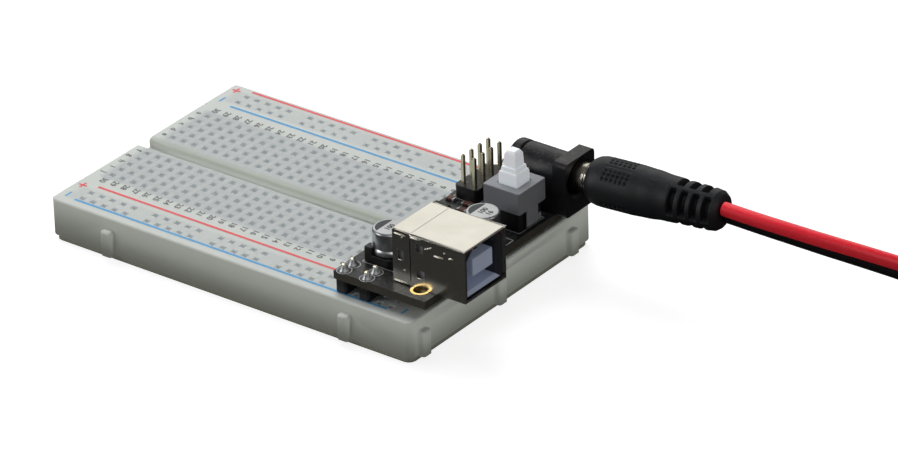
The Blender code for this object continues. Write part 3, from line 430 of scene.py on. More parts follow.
def ivory_inside():
    """Walls inside the contact holes, with a painted glow in place of the light that the plastic
    carries.
    """
    made, tree, shader = new_material("ivory_plastic_inside", tint(160, 166, 168))
    surface = toned(tree, tint(166, 172, 174), tint(140, 146, 150), 160.0, 0.6, 0.1)
    skin = place_group(tree, MOULDED_GRAIN, (("Scale", 1400.0), ("Depth", 0.00002)))
    tree.links.new(surface["Colour"], shader.inputs["Base Color"])
    tree.links.new(surface["Roughness"], shader.inputs["Roughness"])
    tree.links.new(skin["Normal"], shader.inputs["Normal"])
    coordinate = add(tree, "ShaderNodeTexCoord").outputs["Object"]
    place = add(tree, "ShaderNodeSeparateXYZ", ((0, coordinate),))
    # The glow ignores the module's shadow, so it is turned down where the module sits. The
    # place is fixed to the housing: with the module taken away these holes look too dark.
    fade = 1.5 * MM
    open_top = ranged(tree, place.outputs["X"], PCB_LOW.x + fade, PCB_LOW.x - fade)
    glow = blend_colour(tree, open_top, (0.03, 0.035, 0.04, 1), surface["Colour"])
    tree.links.new(glow, shader.inputs["Emission Color"])
    shader.inputs["Emission Strength"].default_value = 0.62
    return made


def solder_mask():
    """Black lacquer over faint copper tracks, with bare laminate at the board's edges."""
    made, tree, shader = new_material("black_lacquer", tint(30, 30, 32))
    surface = toned(tree, tint(34, 34, 35), tint(24, 24, 26), 300.0, 0.36, 0.15)
    place = add(tree, "ShaderNodeTexCoord").outputs["Object"]
    tracks = add(
        tree,
        "ShaderNodeTexBrick",
        (("Vector", place), ("Scale", 260.0), ("Mortar Size", 0.06), ("Row Height", 0.35)),
    )
    bump = add(
        tree,
        "ShaderNodeBump",
        (("Strength", 0.4), ("Distance", 0.00003), ("Height", tracks.outputs["Fac"])),
    )
    normal = add(tree, "ShaderNodeNewGeometry").outputs["Normal"]
    split = add(tree, "ShaderNodeSeparateXYZ", ((0, normal),))
    level = math_node(tree, "ABSOLUTE", split.outputs["Z"])
    edge = add(
        tree, "ShaderNodeMapRange", (("Value", level), ("From Min", 0.7), ("From Max", 0.3))
    )
    fibre = place_group(
        tree,
        UNEVEN_TONE,
        (("Colour", tint(84, 80, 70)), ("Shade", tint(58, 56, 50)), ("Scale", 900.0)),
    )
    dusty = place_group(tree, SETTLED_DUST, (("Amount", 0.16),))
    cut = blend_colour(tree, edge.outputs[0], surface["Colour"], fibre["Colour"])
    settled = blend_colour(tree, dusty["Mask"], cut, DUST_COLOUR)
    tree.links.new(settled, shader.inputs["Base Color"])
    tree.links.new(surface["Roughness"], shader.inputs["Roughness"])
    tree.links.new(bump.outputs["Normal"], shader.inputs["Normal"])
    return made


def foam():
    """Closed-cell foam of the sticky pad."""
    made, tree, shader = new_material("closed_cell_foam", tint(120, 122, 112))
    place = add(tree, "ShaderNodeTexCoord").outputs["Object"]
    cells = add(tree, "ShaderNodeTexVoronoi", (("Vector", place), ("Scale", 3200.0)))
    surface = toned(tree, tint(124, 126, 116), tint(104, 106, 97), 200.0, 0.9)
    pitted = blend_colour(tree, 0.35, surface["Colour"], cells.outputs["Distance"], "MULTIPLY")
    bump = add(
        tree,
        "ShaderNodeBump",
        (("Strength", 0.7), ("Distance", 0.00006), ("Height", cells.outputs["Distance"])),
    )
    tree.links.new(pitted, shader.inputs["Base Color"])
    # Painted light: a faint glow lifts the pad out of the shade under the board.
    shader.inputs["Emission Color"].default_value = tint(150, 152, 140)
    shader.inputs["Emission Strength"].default_value = 0.2
    tree.links.new(surface["Roughness"], shader.inputs["Roughness"])
    tree.links.new(bump.outputs["Normal"], shader.inputs["Normal"])
    return made


def waxed_paper():
    """Release liner: fibrous, slightly glossy paper."""
    made, tree, shader = new_material("waxed_paper", tint(228, 220, 186))
    surface = toned(tree, tint(230, 222, 190), tint(214, 204, 168), 90.0, 0.45)
    fibres = place_group(tree, DRAWN_LINES, (("Stretch", (6.0, 18.0, 6.0)), ("Depth", 0.00001)))
    soft = blend_colour(tree, 0.2, surface["Colour"], fibres["Value"], "SOFT_LIGHT")
    normal = add(tree, "ShaderNodeNewGeometry").outputs["Normal"]
    facing = add(tree, "ShaderNodeSeparateXYZ", ((0, normal),))
    level = math_node(tree, "ABSOLUTE", facing.outputs["Z"])
    # Faces that don't lie level, the liner's edges, are a darker olive grey.
    cut = blend_colour(tree, level, tint(118, 118, 106), soft)
    tree.links.new(cut, shader.inputs["Base Color"])
    tree.links.new(surface["Roughness"], shader.inputs["Roughness"])
    tree.links.new(fibres["Normal"], shader.inputs["Normal"])
    return made


def woven_strap():
    """Black hook-and-loop strap, a fine diagonal weave."""
    made, tree, shader = new_material("woven_strap", tint(26, 26, 28))
    place = add(tree, "ShaderNodeTexCoord").outputs["Object"]
    threading = (("Vector", place), ("Scale", 900.0), ("Distortion", 1.5))
    weave = add(tree, "ShaderNodeTexWave", threading)
    surface = toned(tree, tint(30, 30, 33), tint(18, 18, 20), 600.0, 0.9)
    threads = blend_colour(tree, 0.4, surface["Colour"], weave.outputs["Color"], "SOFT_LIGHT")
    bump = add(
        tree,
        "ShaderNodeBump",
        (("Strength", 0.8), ("Distance", 0.0001), ("Height", weave.outputs["Fac"])),
    )
    tree.links.new(threads, shader.inputs["Base Color"])
    tree.links.new(surface["Roughness"], shader.inputs["Roughness"])
    tree.links.new(bump.outputs["Normal"], shader.inputs["Normal"])
    shader.inputs["Sheen Weight"].default_value = 0.3
    return made


IVORY = ivory_plastic()
IVORY_INSIDE = ivory_inside()
LACQUER = solder_mask()
FOAM = foam()
LINER = waxed_paper()
STRAP = woven_strap()
INK = dict(tone=700.0, grain=3500.0, depth=0.000004, wear=0.0, dust=0.1)
RED_INK = moulding("red_ink", tint(222, 74, 84), tint(232, 104, 108), 0.5, **INK)
BLUE_INK = moulding("blue_ink", tint(72, 152, 208), tint(104, 172, 216), 0.5, **INK)
GREY_INK = moulding("grey_ink", tint(98, 101, 102), tint(128, 131, 131), 0.55, **INK)
DARK_INK = moulding("dark_ink", tint(40, 42, 48), tint(62, 64, 70), 0.5, **INK)
SILK = moulding("white_legend", tint(196, 198, 200), tint(168, 170, 174), 0.6, **INK)
BLACK = moulding(
    "black_nylon", tint(26, 26, 29), tint(18, 18, 20), 0.42, wear_colour=tint(60, 60, 66)
)
JACK_BLACK = moulding(
    "black_jack_nylon", tint(31, 31, 35), tint(22, 22, 25), 0.4, wear_colour=tint(66, 66, 74)
)
RUBBER = moulding(
    "matt_plug_moulding",
    tint(30, 32, 37),
    tint(23, 24, 28),
    0.5,
    grain=1500.0,
    depth=0.00004,
    wear_colour=tint(62, 65, 74),
    dust=0.05,
)
RED_PVC = moulding(
    "red_pvc", tint(254, 42, 60), tint(244, 32, 50), 0.3, wear=0.0, grain=1200.0, Coat_Weight=0.2
)
BLACK_PVC = moulding(
    "black_pvc", tint(22, 20, 22), tint(16, 15, 17), 0.32, wear=0.0, grain=1200.0, Coat_Weight=0.2
)
GREY_PLASTIC = moulding(
    "grey_switch_nylon",
    tint(141, 143, 148),
    tint(127, 129, 135),
    0.5,
    wear_colour=tint(150, 152, 158),
)
# Painted light: the plunger glows faintly to brighten it.
WHITE_PLASTIC = moulding(
    "white_plunger_nylon",
    tint(236, 240, 244),
    tint(226, 231, 238),
    0.4,
    wear_colour=tint(244, 246, 250),
    Subsurface_Weight=0.3,
    Subsurface_Scale=0.0012,
    Emission_Color=tint(240, 246, 250),
    Emission_Strength=0.26,
)
# Painted light: the insulator and its tongue glow faintly, as if lit inside the socket.
INSULATOR = moulding(
    "socket_insulator",
    tint(196, 206, 226),
    tint(180, 190, 214),
    0.42,
    wear_colour=tint(226, 232, 244),
    Emission_Color=tint(150, 162, 190),
    Emission_Strength=0.09,
)
# Painted shade: a dark copy of the insulator, for all of the block but the sill of its opening and
# its outer flanks.
SHADED_INSULATOR = moulding(
    "socket_insulator_painted_shade", tint(46, 48, 56), tint(36, 38, 46), 0.5, wear_colour=tint(80, 84, 96)
)
CHIP_BROWN = moulding("chip_ceramic", tint(92, 58, 46), tint(70, 42, 34), 0.5)
EPOXY = moulding("black_epoxy", tint(30, 30, 31), tint(22, 22, 24), 0.55)
LENS = moulding("tinted_lens", tint(196, 60, 48), tint(170, 40, 34), 0.2, Transmission_Weight=0.3)
TIN = metal("tin_plate", (0.88, 0.86, 0.78, 1), (0.76, 0.73, 0.64, 1), 0.24)
NICKEL = metal("nickel_plate", (0.80, 0.77, 0.68, 1), (0.66, 0.62, 0.52, 1), 0.22)
SOLDER = metal("solder", (0.66, 0.67, 0.68, 1), (0.46, 0.47, 0.48, 1), 0.4, tone=900.0)
PIN_BRASS = metal(
    "pin_plate", (0.88, 0.82, 0.62, 1), (0.64, 0.58, 0.40, 1), 0.26, stretch=(30.0, 30.0, 1.0)
)
BRONZE = metal("phosphor_bronze", (0.72, 0.65, 0.52, 1), (0.55, 0.47, 0.35, 1), 0.35)
GOLD = metal("gold_plate", (0.92, 0.70, 0.30, 1), (0.80, 0.56, 0.20, 1), 0.25)
ALUMINIUM = metal(
    "drawn_aluminium", (0.66, 0.68, 0.70, 1), (0.54, 0.56, 0.58, 1), 0.34, stretch=(8.0, 8.0, 1.0)
)
STEEL = metal("spring_steel", (0.6, 0.6, 0.6, 1), (0.42, 0.42, 0.43, 1), 0.3)

SLOT_FINISH = {
    "ivory_plastic": IVORY,
    "foam": FOAM,
    "liner": LINER,
    "phosphor_bronze": BRONZE,
    "brass": PIN_BRASS,
    "black_plastic": BLACK,
    "solder_mask": LACQUER,
    "tinned_steel": TIN,
    "insulator": INSULATOR,
    "aluminium": ALUMINIUM,
    "grey_plastic": GREY_PLASTIC,
    "white_plastic": WHITE_PLASTIC,
    "spring_steel": STEEL,
    "light_lens": LENS,
    "black_rubber": RUBBER,
    "red_pvc": RED_PVC,
    "strap": STRAP,
}


# ---------------------------------------------------------------- mesh tools


def piece(name, bm, finishes, body, stands_for=(), crease=30):
    """Turn a bmesh into a piece that rides on a body."""
    bmesh.ops.recalc_face_normals(bm, faces=bm.faces)
    mesh = bpy.data.meshes.new(name)
    bm.to_mesh(mesh)
    bm.free()
    mesh.shade_smooth()
    if crease:
        mesh.set_sharp_from_angle(angle=math.radians(crease))
    for finish in finishes if isinstance(finishes, (list, tuple)) else [finishes]:
        mesh.materials.append(finish)
    made = bpy.data.objects.new(name, mesh)
    bpy.context.scene.collection.objects.link(made)
    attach(made, body)
    if stands_for:
        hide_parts(*stands_for)
    return made


def ease_edges(made, width, segments=3, by_weight=False):
    """Round the piece's corners and keep its flats flat."""
    for edge in made.data.edges:
        edge.use_edge_sharp = False
    bevel = made.modifiers.new("eased_edges", "BEVEL")
    bevel.width = width
    bevel.segments = segments
    bevel.limit_method = "WEIGHT" if by_weight else "ANGLE"
    bevel.angle_limit = math.radians(32)
    weighted = made.modifiers.new("flat_faces", "WEIGHTED_NORMAL")
    weighted.keep_sharp = True
    return made


def loft(bm, rings, closed=True, finish=0):
    """Join rings of equally many points with quads, and cap both ends."""
    made = [[bm.verts.new(point) for point in ring] for ring in rings]
    faces = []
    for lower, upper in zip(made, made[1:]):
        for index in range(len(lower)):
            after = (index + 1) % len(lower)
            faces.append(bm.faces.new((lower[index], lower[after], upper[after], upper[index])))
    if closed:
        faces.append(bm.faces.new(made[0][::-1]))
        faces.append(bm.faces.new(made[-1]))
    for face in faces:
        face.material_index = finish
    return made


def block(bm, low, high, finish=0):
    middle = (Vector(low) + Vector(high)) / 2
    size = Vector(high) - Vector(low)
    place = Matrix.Translation(middle) @ Matrix.Diagonal((*size, 1.0))
    verts = bmesh.ops.create_cube(bm, size=1.0, matrix=place)["verts"]
    for face in {face for vert in verts for face in vert.link_faces}:
        face.material_index = finish
    return verts


def turn(bm, profile, sides=48, place=Matrix(), finish=0):
    """Revolve (along, radius) points round the local X axis."""
    rings = []
    for along, radius in profile:
        ring = []
        for side in range(sides):
            angle = 2 * math.pi * side / sides
            ring.append(place @ Vector((along, radius * math.cos(angle), radius * math.sin(angle))))
        rings.append(ring)
    return loft(bm, rings, finish=finish)


def upright(x, y, z):
    return Matrix.Translation((x, y, z)) @ Matrix.Rotation(-math.pi / 2, 4, "Y")


def washer(bm, x, y, z, inner, outer, thick, sides=40, finish=0):
    """Flat ring that lies at height z."""
    corners = [(inner, 0.0), (outer, 0.0), (outer, thick), (inner, thick)]
    rings = []
    for side in range(sides):
        angle = 2 * math.pi * side / sides
        out = Vector((math.cos(angle), math.sin(angle), 0.0))
        rings.append(
            [bm.verts.new(Vector((x, y, z + up)) + out * radius) for radius, up in corners]
        )
    for index, ring in enumerate(rings):
        following = rings[(index + 1) % sides]
        for corner in range(4):
            after = (corner + 1) % 4
            face = bm.faces.new((ring[corner], ring[after], following[after], following[corner]))
            face.material_index = finish


def rounded_rectangle(low, high, radius, steps=6):
    points = []
    corners = (
        (high[0] - radius, low[1] + radius, -90),
        (high[0] - radius, high[1] - radius, 0),
        (low[0] + radius, high[1] - radius, 90),
        (low[0] + radius, low[1] + radius, 180),
    )
    for x, y, start in corners:
        for step in range(steps + 1):
            angle = math.radians(start + 90 * step / steps)
            points.append((x + radius * math.cos(angle), y + radius * math.sin(angle)))
    return points


def lettering(bm, text, size, place, finish=0, thick=0.01 * MM):
    """Plain characters, centred on the place's origin and lying in its XY plane."""
    curve = bpy.data.curves.new("characters", "FONT")
    curve.body = text
    curve.size = size
    curve.extrude = thick
    curve.offset = 0.025 * size
    curve.align_x = "CENTER"
    curve.align_y = "CENTER"
    curve.resolution_u = 3
    holder = bpy.data.objects.new("characters", curve)
    bpy.context.scene.collection.objects.link(holder)
    bpy.context.view_layer.update()
    graph = bpy.context.evaluated_depsgraph_get()
    mesh = bpy.data.meshes.new_from_object(holder.evaluated_get(graph))
    mesh.transform(place)
    first = len(bm.faces)
    bm.from_mesh(mesh)
    bm.faces.ensure_lookup_table()
    for face in bm.faces[first:]:
        face.material_index = finish
    bpy.data.objects.remove(holder)
    bpy.data.meshes.remove(mesh)
    bpy.data.curves.remove(curve)


# ---------------------------------------------------------------- camera, light and floor


def camera():
    """Long lens from the front right, looking down at the board."""
    data = bpy.data.cameras.new("camera")
    data.sensor_width = 36.0
    data.lens = 256.352
    made = bpy.data.objects.new("camera", data)
    right = Vector((0.79848, 0.60145, -0.02622))
    down = Vector((0.27125, -0.39831, -0.87623))
    forward = Vector((-0.53745, 0.69254, -0.48118))
    turn_to = Matrix((right, -down, -forward)).transposed().to_4x4()
    made.matrix_world = Matrix.Translation((0.648165, -0.796893, 0.566104)) @ turn_to
    bpy.context.scene.collection.objects.link(made)
    bpy.context.scene.camera = made


def softbox(name, location, width, height, power, colour, for_gloss, for_matt):
    """Area light aimed at the board, for its gloss, for its matt shading or for both."""
    data = bpy.data.lights.new(name, "AREA")
    data.shape = "RECTANGLE"
    data.size = width
    data.size_y = height
    data.energy = power
    data.color = colour
    made = bpy.data.objects.new(name, data)
    made.location = location
    look = Vector((0.02, 0.0, 0.01)) - Vector(location)
    made.rotation_euler = look.to_track_quat("-Z", "Y").to_euler()
    made.visible_camera = False
    made.visible_glossy = for_gloss
    made.visible_diffuse = for_matt
    bpy.context.scene.collection.objects.link(made)


def studio():
    """Large soft light from above and behind, weaker ones at the sides, and a pale floor."""
    warm = (1.0, 0.985, 0.95)
    plain = (1.0, 1.0, 1.0)
    softbox("back_card", (-0.64, 0.83, 0.62), 1.5, 1.1, 4.6, warm, True, False)
    softbox("front_card", (0.75, -0.65, 0.85), 1.1, 0.8, 1.7, plain, True, False)
    softbox("key_softbox", (-0.45, 0.30, 1.0), 0.8, 0.8, 10.5, plain, False, True)
    softbox("left_softbox", (-0.75, -0.85, 0.45), 0.5, 0.7, 3.2, plain, True, True)
    softbox("right_softbox", (1.05, 0.15, 0.35), 0.4, 0.5, 0.75, plain, True, True)

    world = bpy.data.worlds.new("studio")
    world.use_nodes = True
    tree = world.node_tree
    shader = tree.nodes["Background"]
    rays = add(tree, "ShaderNodeLightPath").outputs
    ambient, reflected = 0.22, 0.1
    dimmed = math_node(tree, "MULTIPLY", rays["Is Glossy Ray"], ambient - reflected)
    level = math_node(tree, "SUBTRACT", ambient, dimmed)
    strength = math_node(tree, "ADD", level, rays["Is Camera Ray"], clamp=True)
    tree.links.new(strength, shader.inputs["Strength"])
    shader.inputs["Color"].default_value = (1, 1, 1, 1)
    bpy.context.scene.world = world
    bpy.context.scene.view_settings.view_transform = "Standard"

    bm = bmesh.new()
    half = 3.0
    corners = [(-half, -half), (half, -half), (half, half), (-half, half)]
    bm.faces.new([bm.verts.new((x, y, -0.0001)) for x, y in corners])
    mesh = bpy.data.meshes.new("floor")
    bm.to_mesh(mesh)
    bm.free()
    floor = bpy.data.objects.new("floor", mesh)
    bpy.context.scene.collection.objects.link(floor)
    pale, tree, shader = new_material("pale_floor", (0.9, 0.9, 0.9, 1))
    rays = add(tree, "ShaderNodeLightPath").outputs
    lit, dimmed = (0.30, 0.30, 0.29, 1), (0.03, 0.03, 0.03, 1)
    bounced = blend_colour(tree, rays["Is Glossy Ray"], lit, dimmed)
    tone = blend_colour(tree, rays["Is Camera Ray"], bounced, (0.4, 0.4, 0.4, 1))
    glow = blend_colour(tree, rays["Is Camera Ray"], (0, 0, 0, 1), (0.82, 0.82, 0.82, 1))
    tree.links.new(tone, shader.inputs["Base Color"])
    tree.links.new(glow, shader.inputs["Emission Color"])
    shader.inputs["Emission Strength"].default_value = 1.0
    shader.inputs["Roughness"].default_value = 1.0
    shader.inputs["Specular IOR Level"].default_value = 0.0
    mesh.materials.append(pale)


# ---------------------------------------------------------------- lead

PLUG_PIVOT = Vector((41.7, 17.5, 19.2)) * MM
PLUG_SEAT = Vector((-0.7, 0.0, 0.3)) * MM  # the visible plug sits a touch deeper and higher
PLUG_PLACE = Matrix.Translation(PLUG_PIVOT + PLUG_SEAT) @ Euler(
    (0.0, -math.radians(1.6), math.radians(3.7))
).to_matrix().to_4x4()
PLUG_FACE = 8.1 * MM
GRIP_LENGTH = 16.0 * MM
RELIEF_LENGTH = 11.3 * MM
CORE = 1.33 * MM  # radius of one of the two conductors
EXIT_ROLL = math.radians(35)  # the pair leaves the plug with its red conductor in front
ROLL_LENGTH = 100.0 * MM  # the roll dies out over this, so that the coil lies flat
LEAD_EXIT = PLUG_PLACE @ Vector((PLUG_FACE + GRIP_LENGTH + RELIEF_LENGTH + 0.3 * MM, 0.0, 0.0))
LEAD_ROUTE = [
    Vector((83.0, 20.3, 20.1)) * MM,
    Vector((89.0, 21.1, 19.6)) * MM,
    Vector((96.0, 22.7, 18.6)) * MM,
    Vector((103.0, 24.9, 17.3)) * MM,
    Vector((110.0, 27.7, 15.5)) * MM,
    Vector((117.0, 31.0, 13.0)) * MM,
    Vector((124.0, 34.7, 9.9)) * MM,
    Vector((131.0, 38.5, 6.7)) * MM,
    Vector((138.0, 42.2, 4.3)) * MM,
    Vector((145.0, 45.4, 3.4)) * MM,
    Vector((149.0, 46.6, 3.4)) * MM,
]
COIL_LOW, COIL_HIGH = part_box("lead_coil")
COIL_CENTRE = (COIL_LOW + COIL_HIGH) / 2
OUTER_TURN = 34.0 * MM
INNER_TURN = 30.9 * MM


def smooth_route(points, step):
    """Points a fixed distance apart on a Catmull-Rom curve through the given points."""
    padded = [2 * points[0] - points[1], *points, 2 * points[-1] - points[-2]]
    fine = []
    for index in range(1, len(padded) - 2):
        before, start, end, after = padded[index - 1 : index + 3]
        for part in range(20):
            t = part / 20
            along = (end - before) * t
            bend = (2 * before - 5 * start + 4 * end - after) * t**2
            last = (3 * start - before - 3 * end + after) * t**3
            fine.append(start + (along + bend + last) / 2)
    fine.append(points[-1])
    lengths = [0.0]
    for start, end in zip(fine, fine[1:]):
        lengths.append(lengths[-1] + (end - start).length)
    count = max(2, round(lengths[-1] / step))
    spaced = []
    place = 0
    for number in range(count + 1):
        target = lengths[-1] * number / count
        while place < len(fine) - 2 and lengths[place + 1] < target:
            place += 1
        share = (target - lengths[place]) / (lengths[place + 1] - lengths[place])
        spaced.append(fine[place].lerp(fine[place + 1], min(share, 1.0)))
    return spaced


def coil_points():
    """Two turns that wind inwards from the end of the loose stretch, clockwise from above."""
    start = LEAD_ROUTE[-1] - COIL_CENTRE
    first_angle = math.degrees(math.atan2(start.y, start.x))
    first_radius = Vector((start.x, start.y)).length
    settle, cross, total = 45, 60, 760
    points = []
    for turned in range(6, total, 6):
        if turned < settle:
            share = math.sin(math.pi / 2 * turned / settle)
            radius = first_radius + (OUTER_TURN - first_radius) * share
        elif turned < 360 + settle - cross:
            radius = OUTER_TURN
        else:
            share = min(1.0, (turned - 360 - settle + cross) / cross)
            ease = share * share * (3 - 2 * share)
            radius = OUTER_TURN + (INNER_TURN - OUTER_TURN) * ease
        angle = math.radians(first_angle - turned)
        points.append(COIL_CENTRE + Vector((math.cos(angle), math.sin(angle), 0.0)) * radius)
    return points


def sweep(bm, path, section, finishes, roll=0.0):
    """Carry a section along a path, upright apart from a roll that dies out along it."""
    rings = []
    travelled = 0.0
    for index, point in enumerate(path):
        ahead = path[min(index + 1, len(path) - 1)] - path[max(index - 1, 0)]
        ahead.normalize()
        side = ahead.cross(Vector((0.0, 0.0, 1.0))).normalized()
        up = side.cross(ahead).normalized()
        travelled += (point - path[max(index - 1, 0)]).length
        share = min(1.0, travelled / ROLL_LENGTH)
        turned = roll * (1 - share * share * (3 - 2 * share))
        across_axis = side * math.cos(turned) - up * math.sin(turned)
        rise_axis = up * math.cos(turned) + side * math.sin(turned)
        outline = [point + across_axis * across + rise_axis * rise for across, rise in section]
        rings.append([bm.verts.new(corner) for corner in outline])
    count = len(section)
    for lower, upper in zip(rings, rings[1:]):
        for index in range(count):
            after = (index + 1) % count
            face = bm.faces.new((lower[index], lower[after], upper[after], upper[index]))
            face.material_index = finishes[index]
    half = count // 2
    for ring in (rings[0], rings[-1]):
        for finish, part in ((0, ring[: half + 1]), (1, ring[half:] + ring[:1])):
            face = bm.faces.new(part)
            face.material_index = finish


def twin_section():
    """Two round conductors joined by a narrow web: the red one above the black one."""
    steps = 14
    neck = math.radians(62)
    waist = CORE * 0.40
    upper = [(waist, 0.0)]
    for step in range(steps + 1):
        angle = -neck + (math.pi + 2 * neck) * step / steps
        upper.append((CORE * math.cos(angle), CORE + CORE * math.sin(angle)))
    lower = [(-across, -rise) for across, rise in upper]
    return upper + lower, [0] * len(upper) + [1] * len(lower)


def conductor_end(name, core, radius_shift, finish, start):
    """One conductor split from the pair, curling inside the coil, with its tinned strands bare."""
    points = []
    for step in range(17):
        share = step / 16
        ease = share * share * (3 - 2 * share)
        angle = start - math.radians(34) * share
        radius = INNER_TURN - (INNER_TURN - radius_shift) * ease
        low = COIL_CENTRE.z + core + (COIL_LOW.z + CORE - COIL_CENTRE.z - core) * ease
        out = Vector((math.cos(angle), math.sin(angle), 0.0)) * radius
        points.append(Vector((COIL_CENTRE.x + out.x, COIL_CENTRE.y + out.y, low)))
    circle = [
        (CORE * math.cos(2 * math.pi * side / 20), CORE * math.sin(2 * math.pi * side / 20))
        for side in range(20)
    ]
    bm = bmesh.new()
    sweep(bm, points, circle, [0] * 20)
    for face in bm.faces:
        face.material_index = 0
    direction = (points[-1] - points[-2]).normalized()
    turned = direction.to_track_quat("X", "Z").to_matrix().to_4x4()
    strand = 0.26 * MM
    for number in range(7):
        around = Matrix.Rotation(number * math.pi / 3, 4, "X")
        away = Vector((0.0, 0.0, 0.0 if number == 6 else 2 * strand))
        place = Matrix.Translation(points[-1]) @ turned @ around @ Matrix.Translation(away)
        turn(bm, [(-0.5 * MM, strand), (5.6 * MM, strand), (6.0 * MM, strand / 2)], 10, place, 1)
    return piece(name, bm, [finish, SOLDER], "plug")


def lead():
    """The twin cord from the plug to its bare ends, loose and then in two turns on edge."""
    path = smooth_route([LEAD_EXIT, *LEAD_ROUTE, *coil_points()], 1.3 * MM)
    section, finishes = twin_section()
    bm = bmesh.new()
    sweep(bm, path, section, finishes, EXIT_ROLL)
    made = piece("lead_cord", bm, [RED_PVC, BLACK_PVC], "plug", ["lead", "lead_coil"])
    last = path[-1] - COIL_CENTRE
    start = math.atan2(last.y, last.x)
    ends = [
        conductor_end("red_conductor_end", CORE, 28.0 * MM, RED_PVC, start),
        conductor_end("black_conductor_end", -CORE, 24.6 * MM, BLACK_PVC, start),
    ]


def coil_strap():
    """Hook-and-loop strap wrapped round the turns; its overlapped end is not drawn."""
    low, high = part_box("coil_tie")
    bm = bmesh.new()
    thick = 0.45 * MM
    outer = rounded_rectangle((low.y, low.z), (high.y, high.z), 1.2 * MM)
    inner = rounded_rectangle(
        (low.y + thick, low.z + thick), (high.y - thick, high.z - thick), 0.75 * MM
    )
    ends = []
    for x in (low.x, high.x):
        ends.append(
            [[bm.verts.new((x, y, z)) for y, z in outline] for outline in (outer, inner)]
        )
    count = len(outer)
    for index in range(count):
        after = (index + 1) % count
        bm.faces.new([ends[0][0][index], ends[0][0][after], ends[1][0][after], ends[1][0][index]])
        bm.faces.new([ends[0][1][index], ends[0][1][after], ends[1][1][after], ends[1][1][index]])
        for side in (0, 1):
            outline, opening = ends[side]
            bm.faces.new([outline[index], outline[after], opening[after], opening[index]])
    made = piece("coil_strap", bm, STRAP, "plug", ["coil_tie"])
    ease_edges(made, 0.12 * MM, 2)


# ---------------------------------------------------------------- plug

SLEEVE_RADIUS = 2.75 * MM


def grip_radius(along):
    """Outline of the moulded grip and strain relief, from its front face."""
    stations = [
        (0.0, 3.55),
        (0.25, 3.95),
        (0.9, 4.35),
        (2.0, 4.6),
        (3.2, 4.65),
        (9.0, 4.65),
        (12.5, 4.5),
        (16.0, 4.2),
        (21.0, 4.02),
        (24.6, 3.92),
        (26.2, 3.75),
        (27.0, 3.2),
        (27.3, 2.3),
    ]
    place = along / MM
    for (start, first), (end, last) in zip(stations, stations[1:]):
        if place <= end:
            share = (place - start) / (end - start)
            ease = share if start < 3.2 or start >= 26.0 else share * share * (3 - 2 * share)
            return (first + (last - first) * ease) * MM
    return stations[-1][1] * MM


def dent(distance, half, soft):
    """1 inside a recess, 0 outside, with a short slope between."""
    return min(1.0, max(0.0, (half - abs(distance)) / soft + 1.0))


def grip_recess(along, angle):
    """How deep the moulding is cut at one place: dotted grip, mould lines and relief slots."""
    place = along / MM
    turned = math.degrees(angle) % 180
    deep = 0.0
    if 3.4 < place < 9.4:
        for centre in (28, 39, 50, 76, 87, 98, 122, 133, 144):
            row = (turned - centre) * math.pi / 180 * 4.65
            if abs(row) < 0.5:
                for number in range(6):
                    column = place - (4.1 + 0.95 * number + (centre % 3) * 0.1)
                    deep = max(deep, 0.28 * dent(row, 0.17, 0.14) * dent(column, 0.2, 0.14))
        line = min(abs(turned - 63), abs(turned - 111)) * math.pi / 180 * 4.65
        deep = max(deep, 0.12 * dent(line, 0.06, 0.1) * dent(place - 6.4, 2.6, 0.3))
    if 17.2 < place < 26.2:
        for middle, first, apart, count in ((159, 18.2, 2.35, 4), (69, 19.1, 2.5, 3)):
            for number in range(count):
                column = place - (first + apart * number)
                side = (turned - middle + 90) % 180 - 90
                around = abs(side) * math.pi / 180 * 4.1
                deep = max(deep, 1.3 * dent(column, 0.44, 0.3) * dent(around, 2.45, 0.35))
    return deep * MM


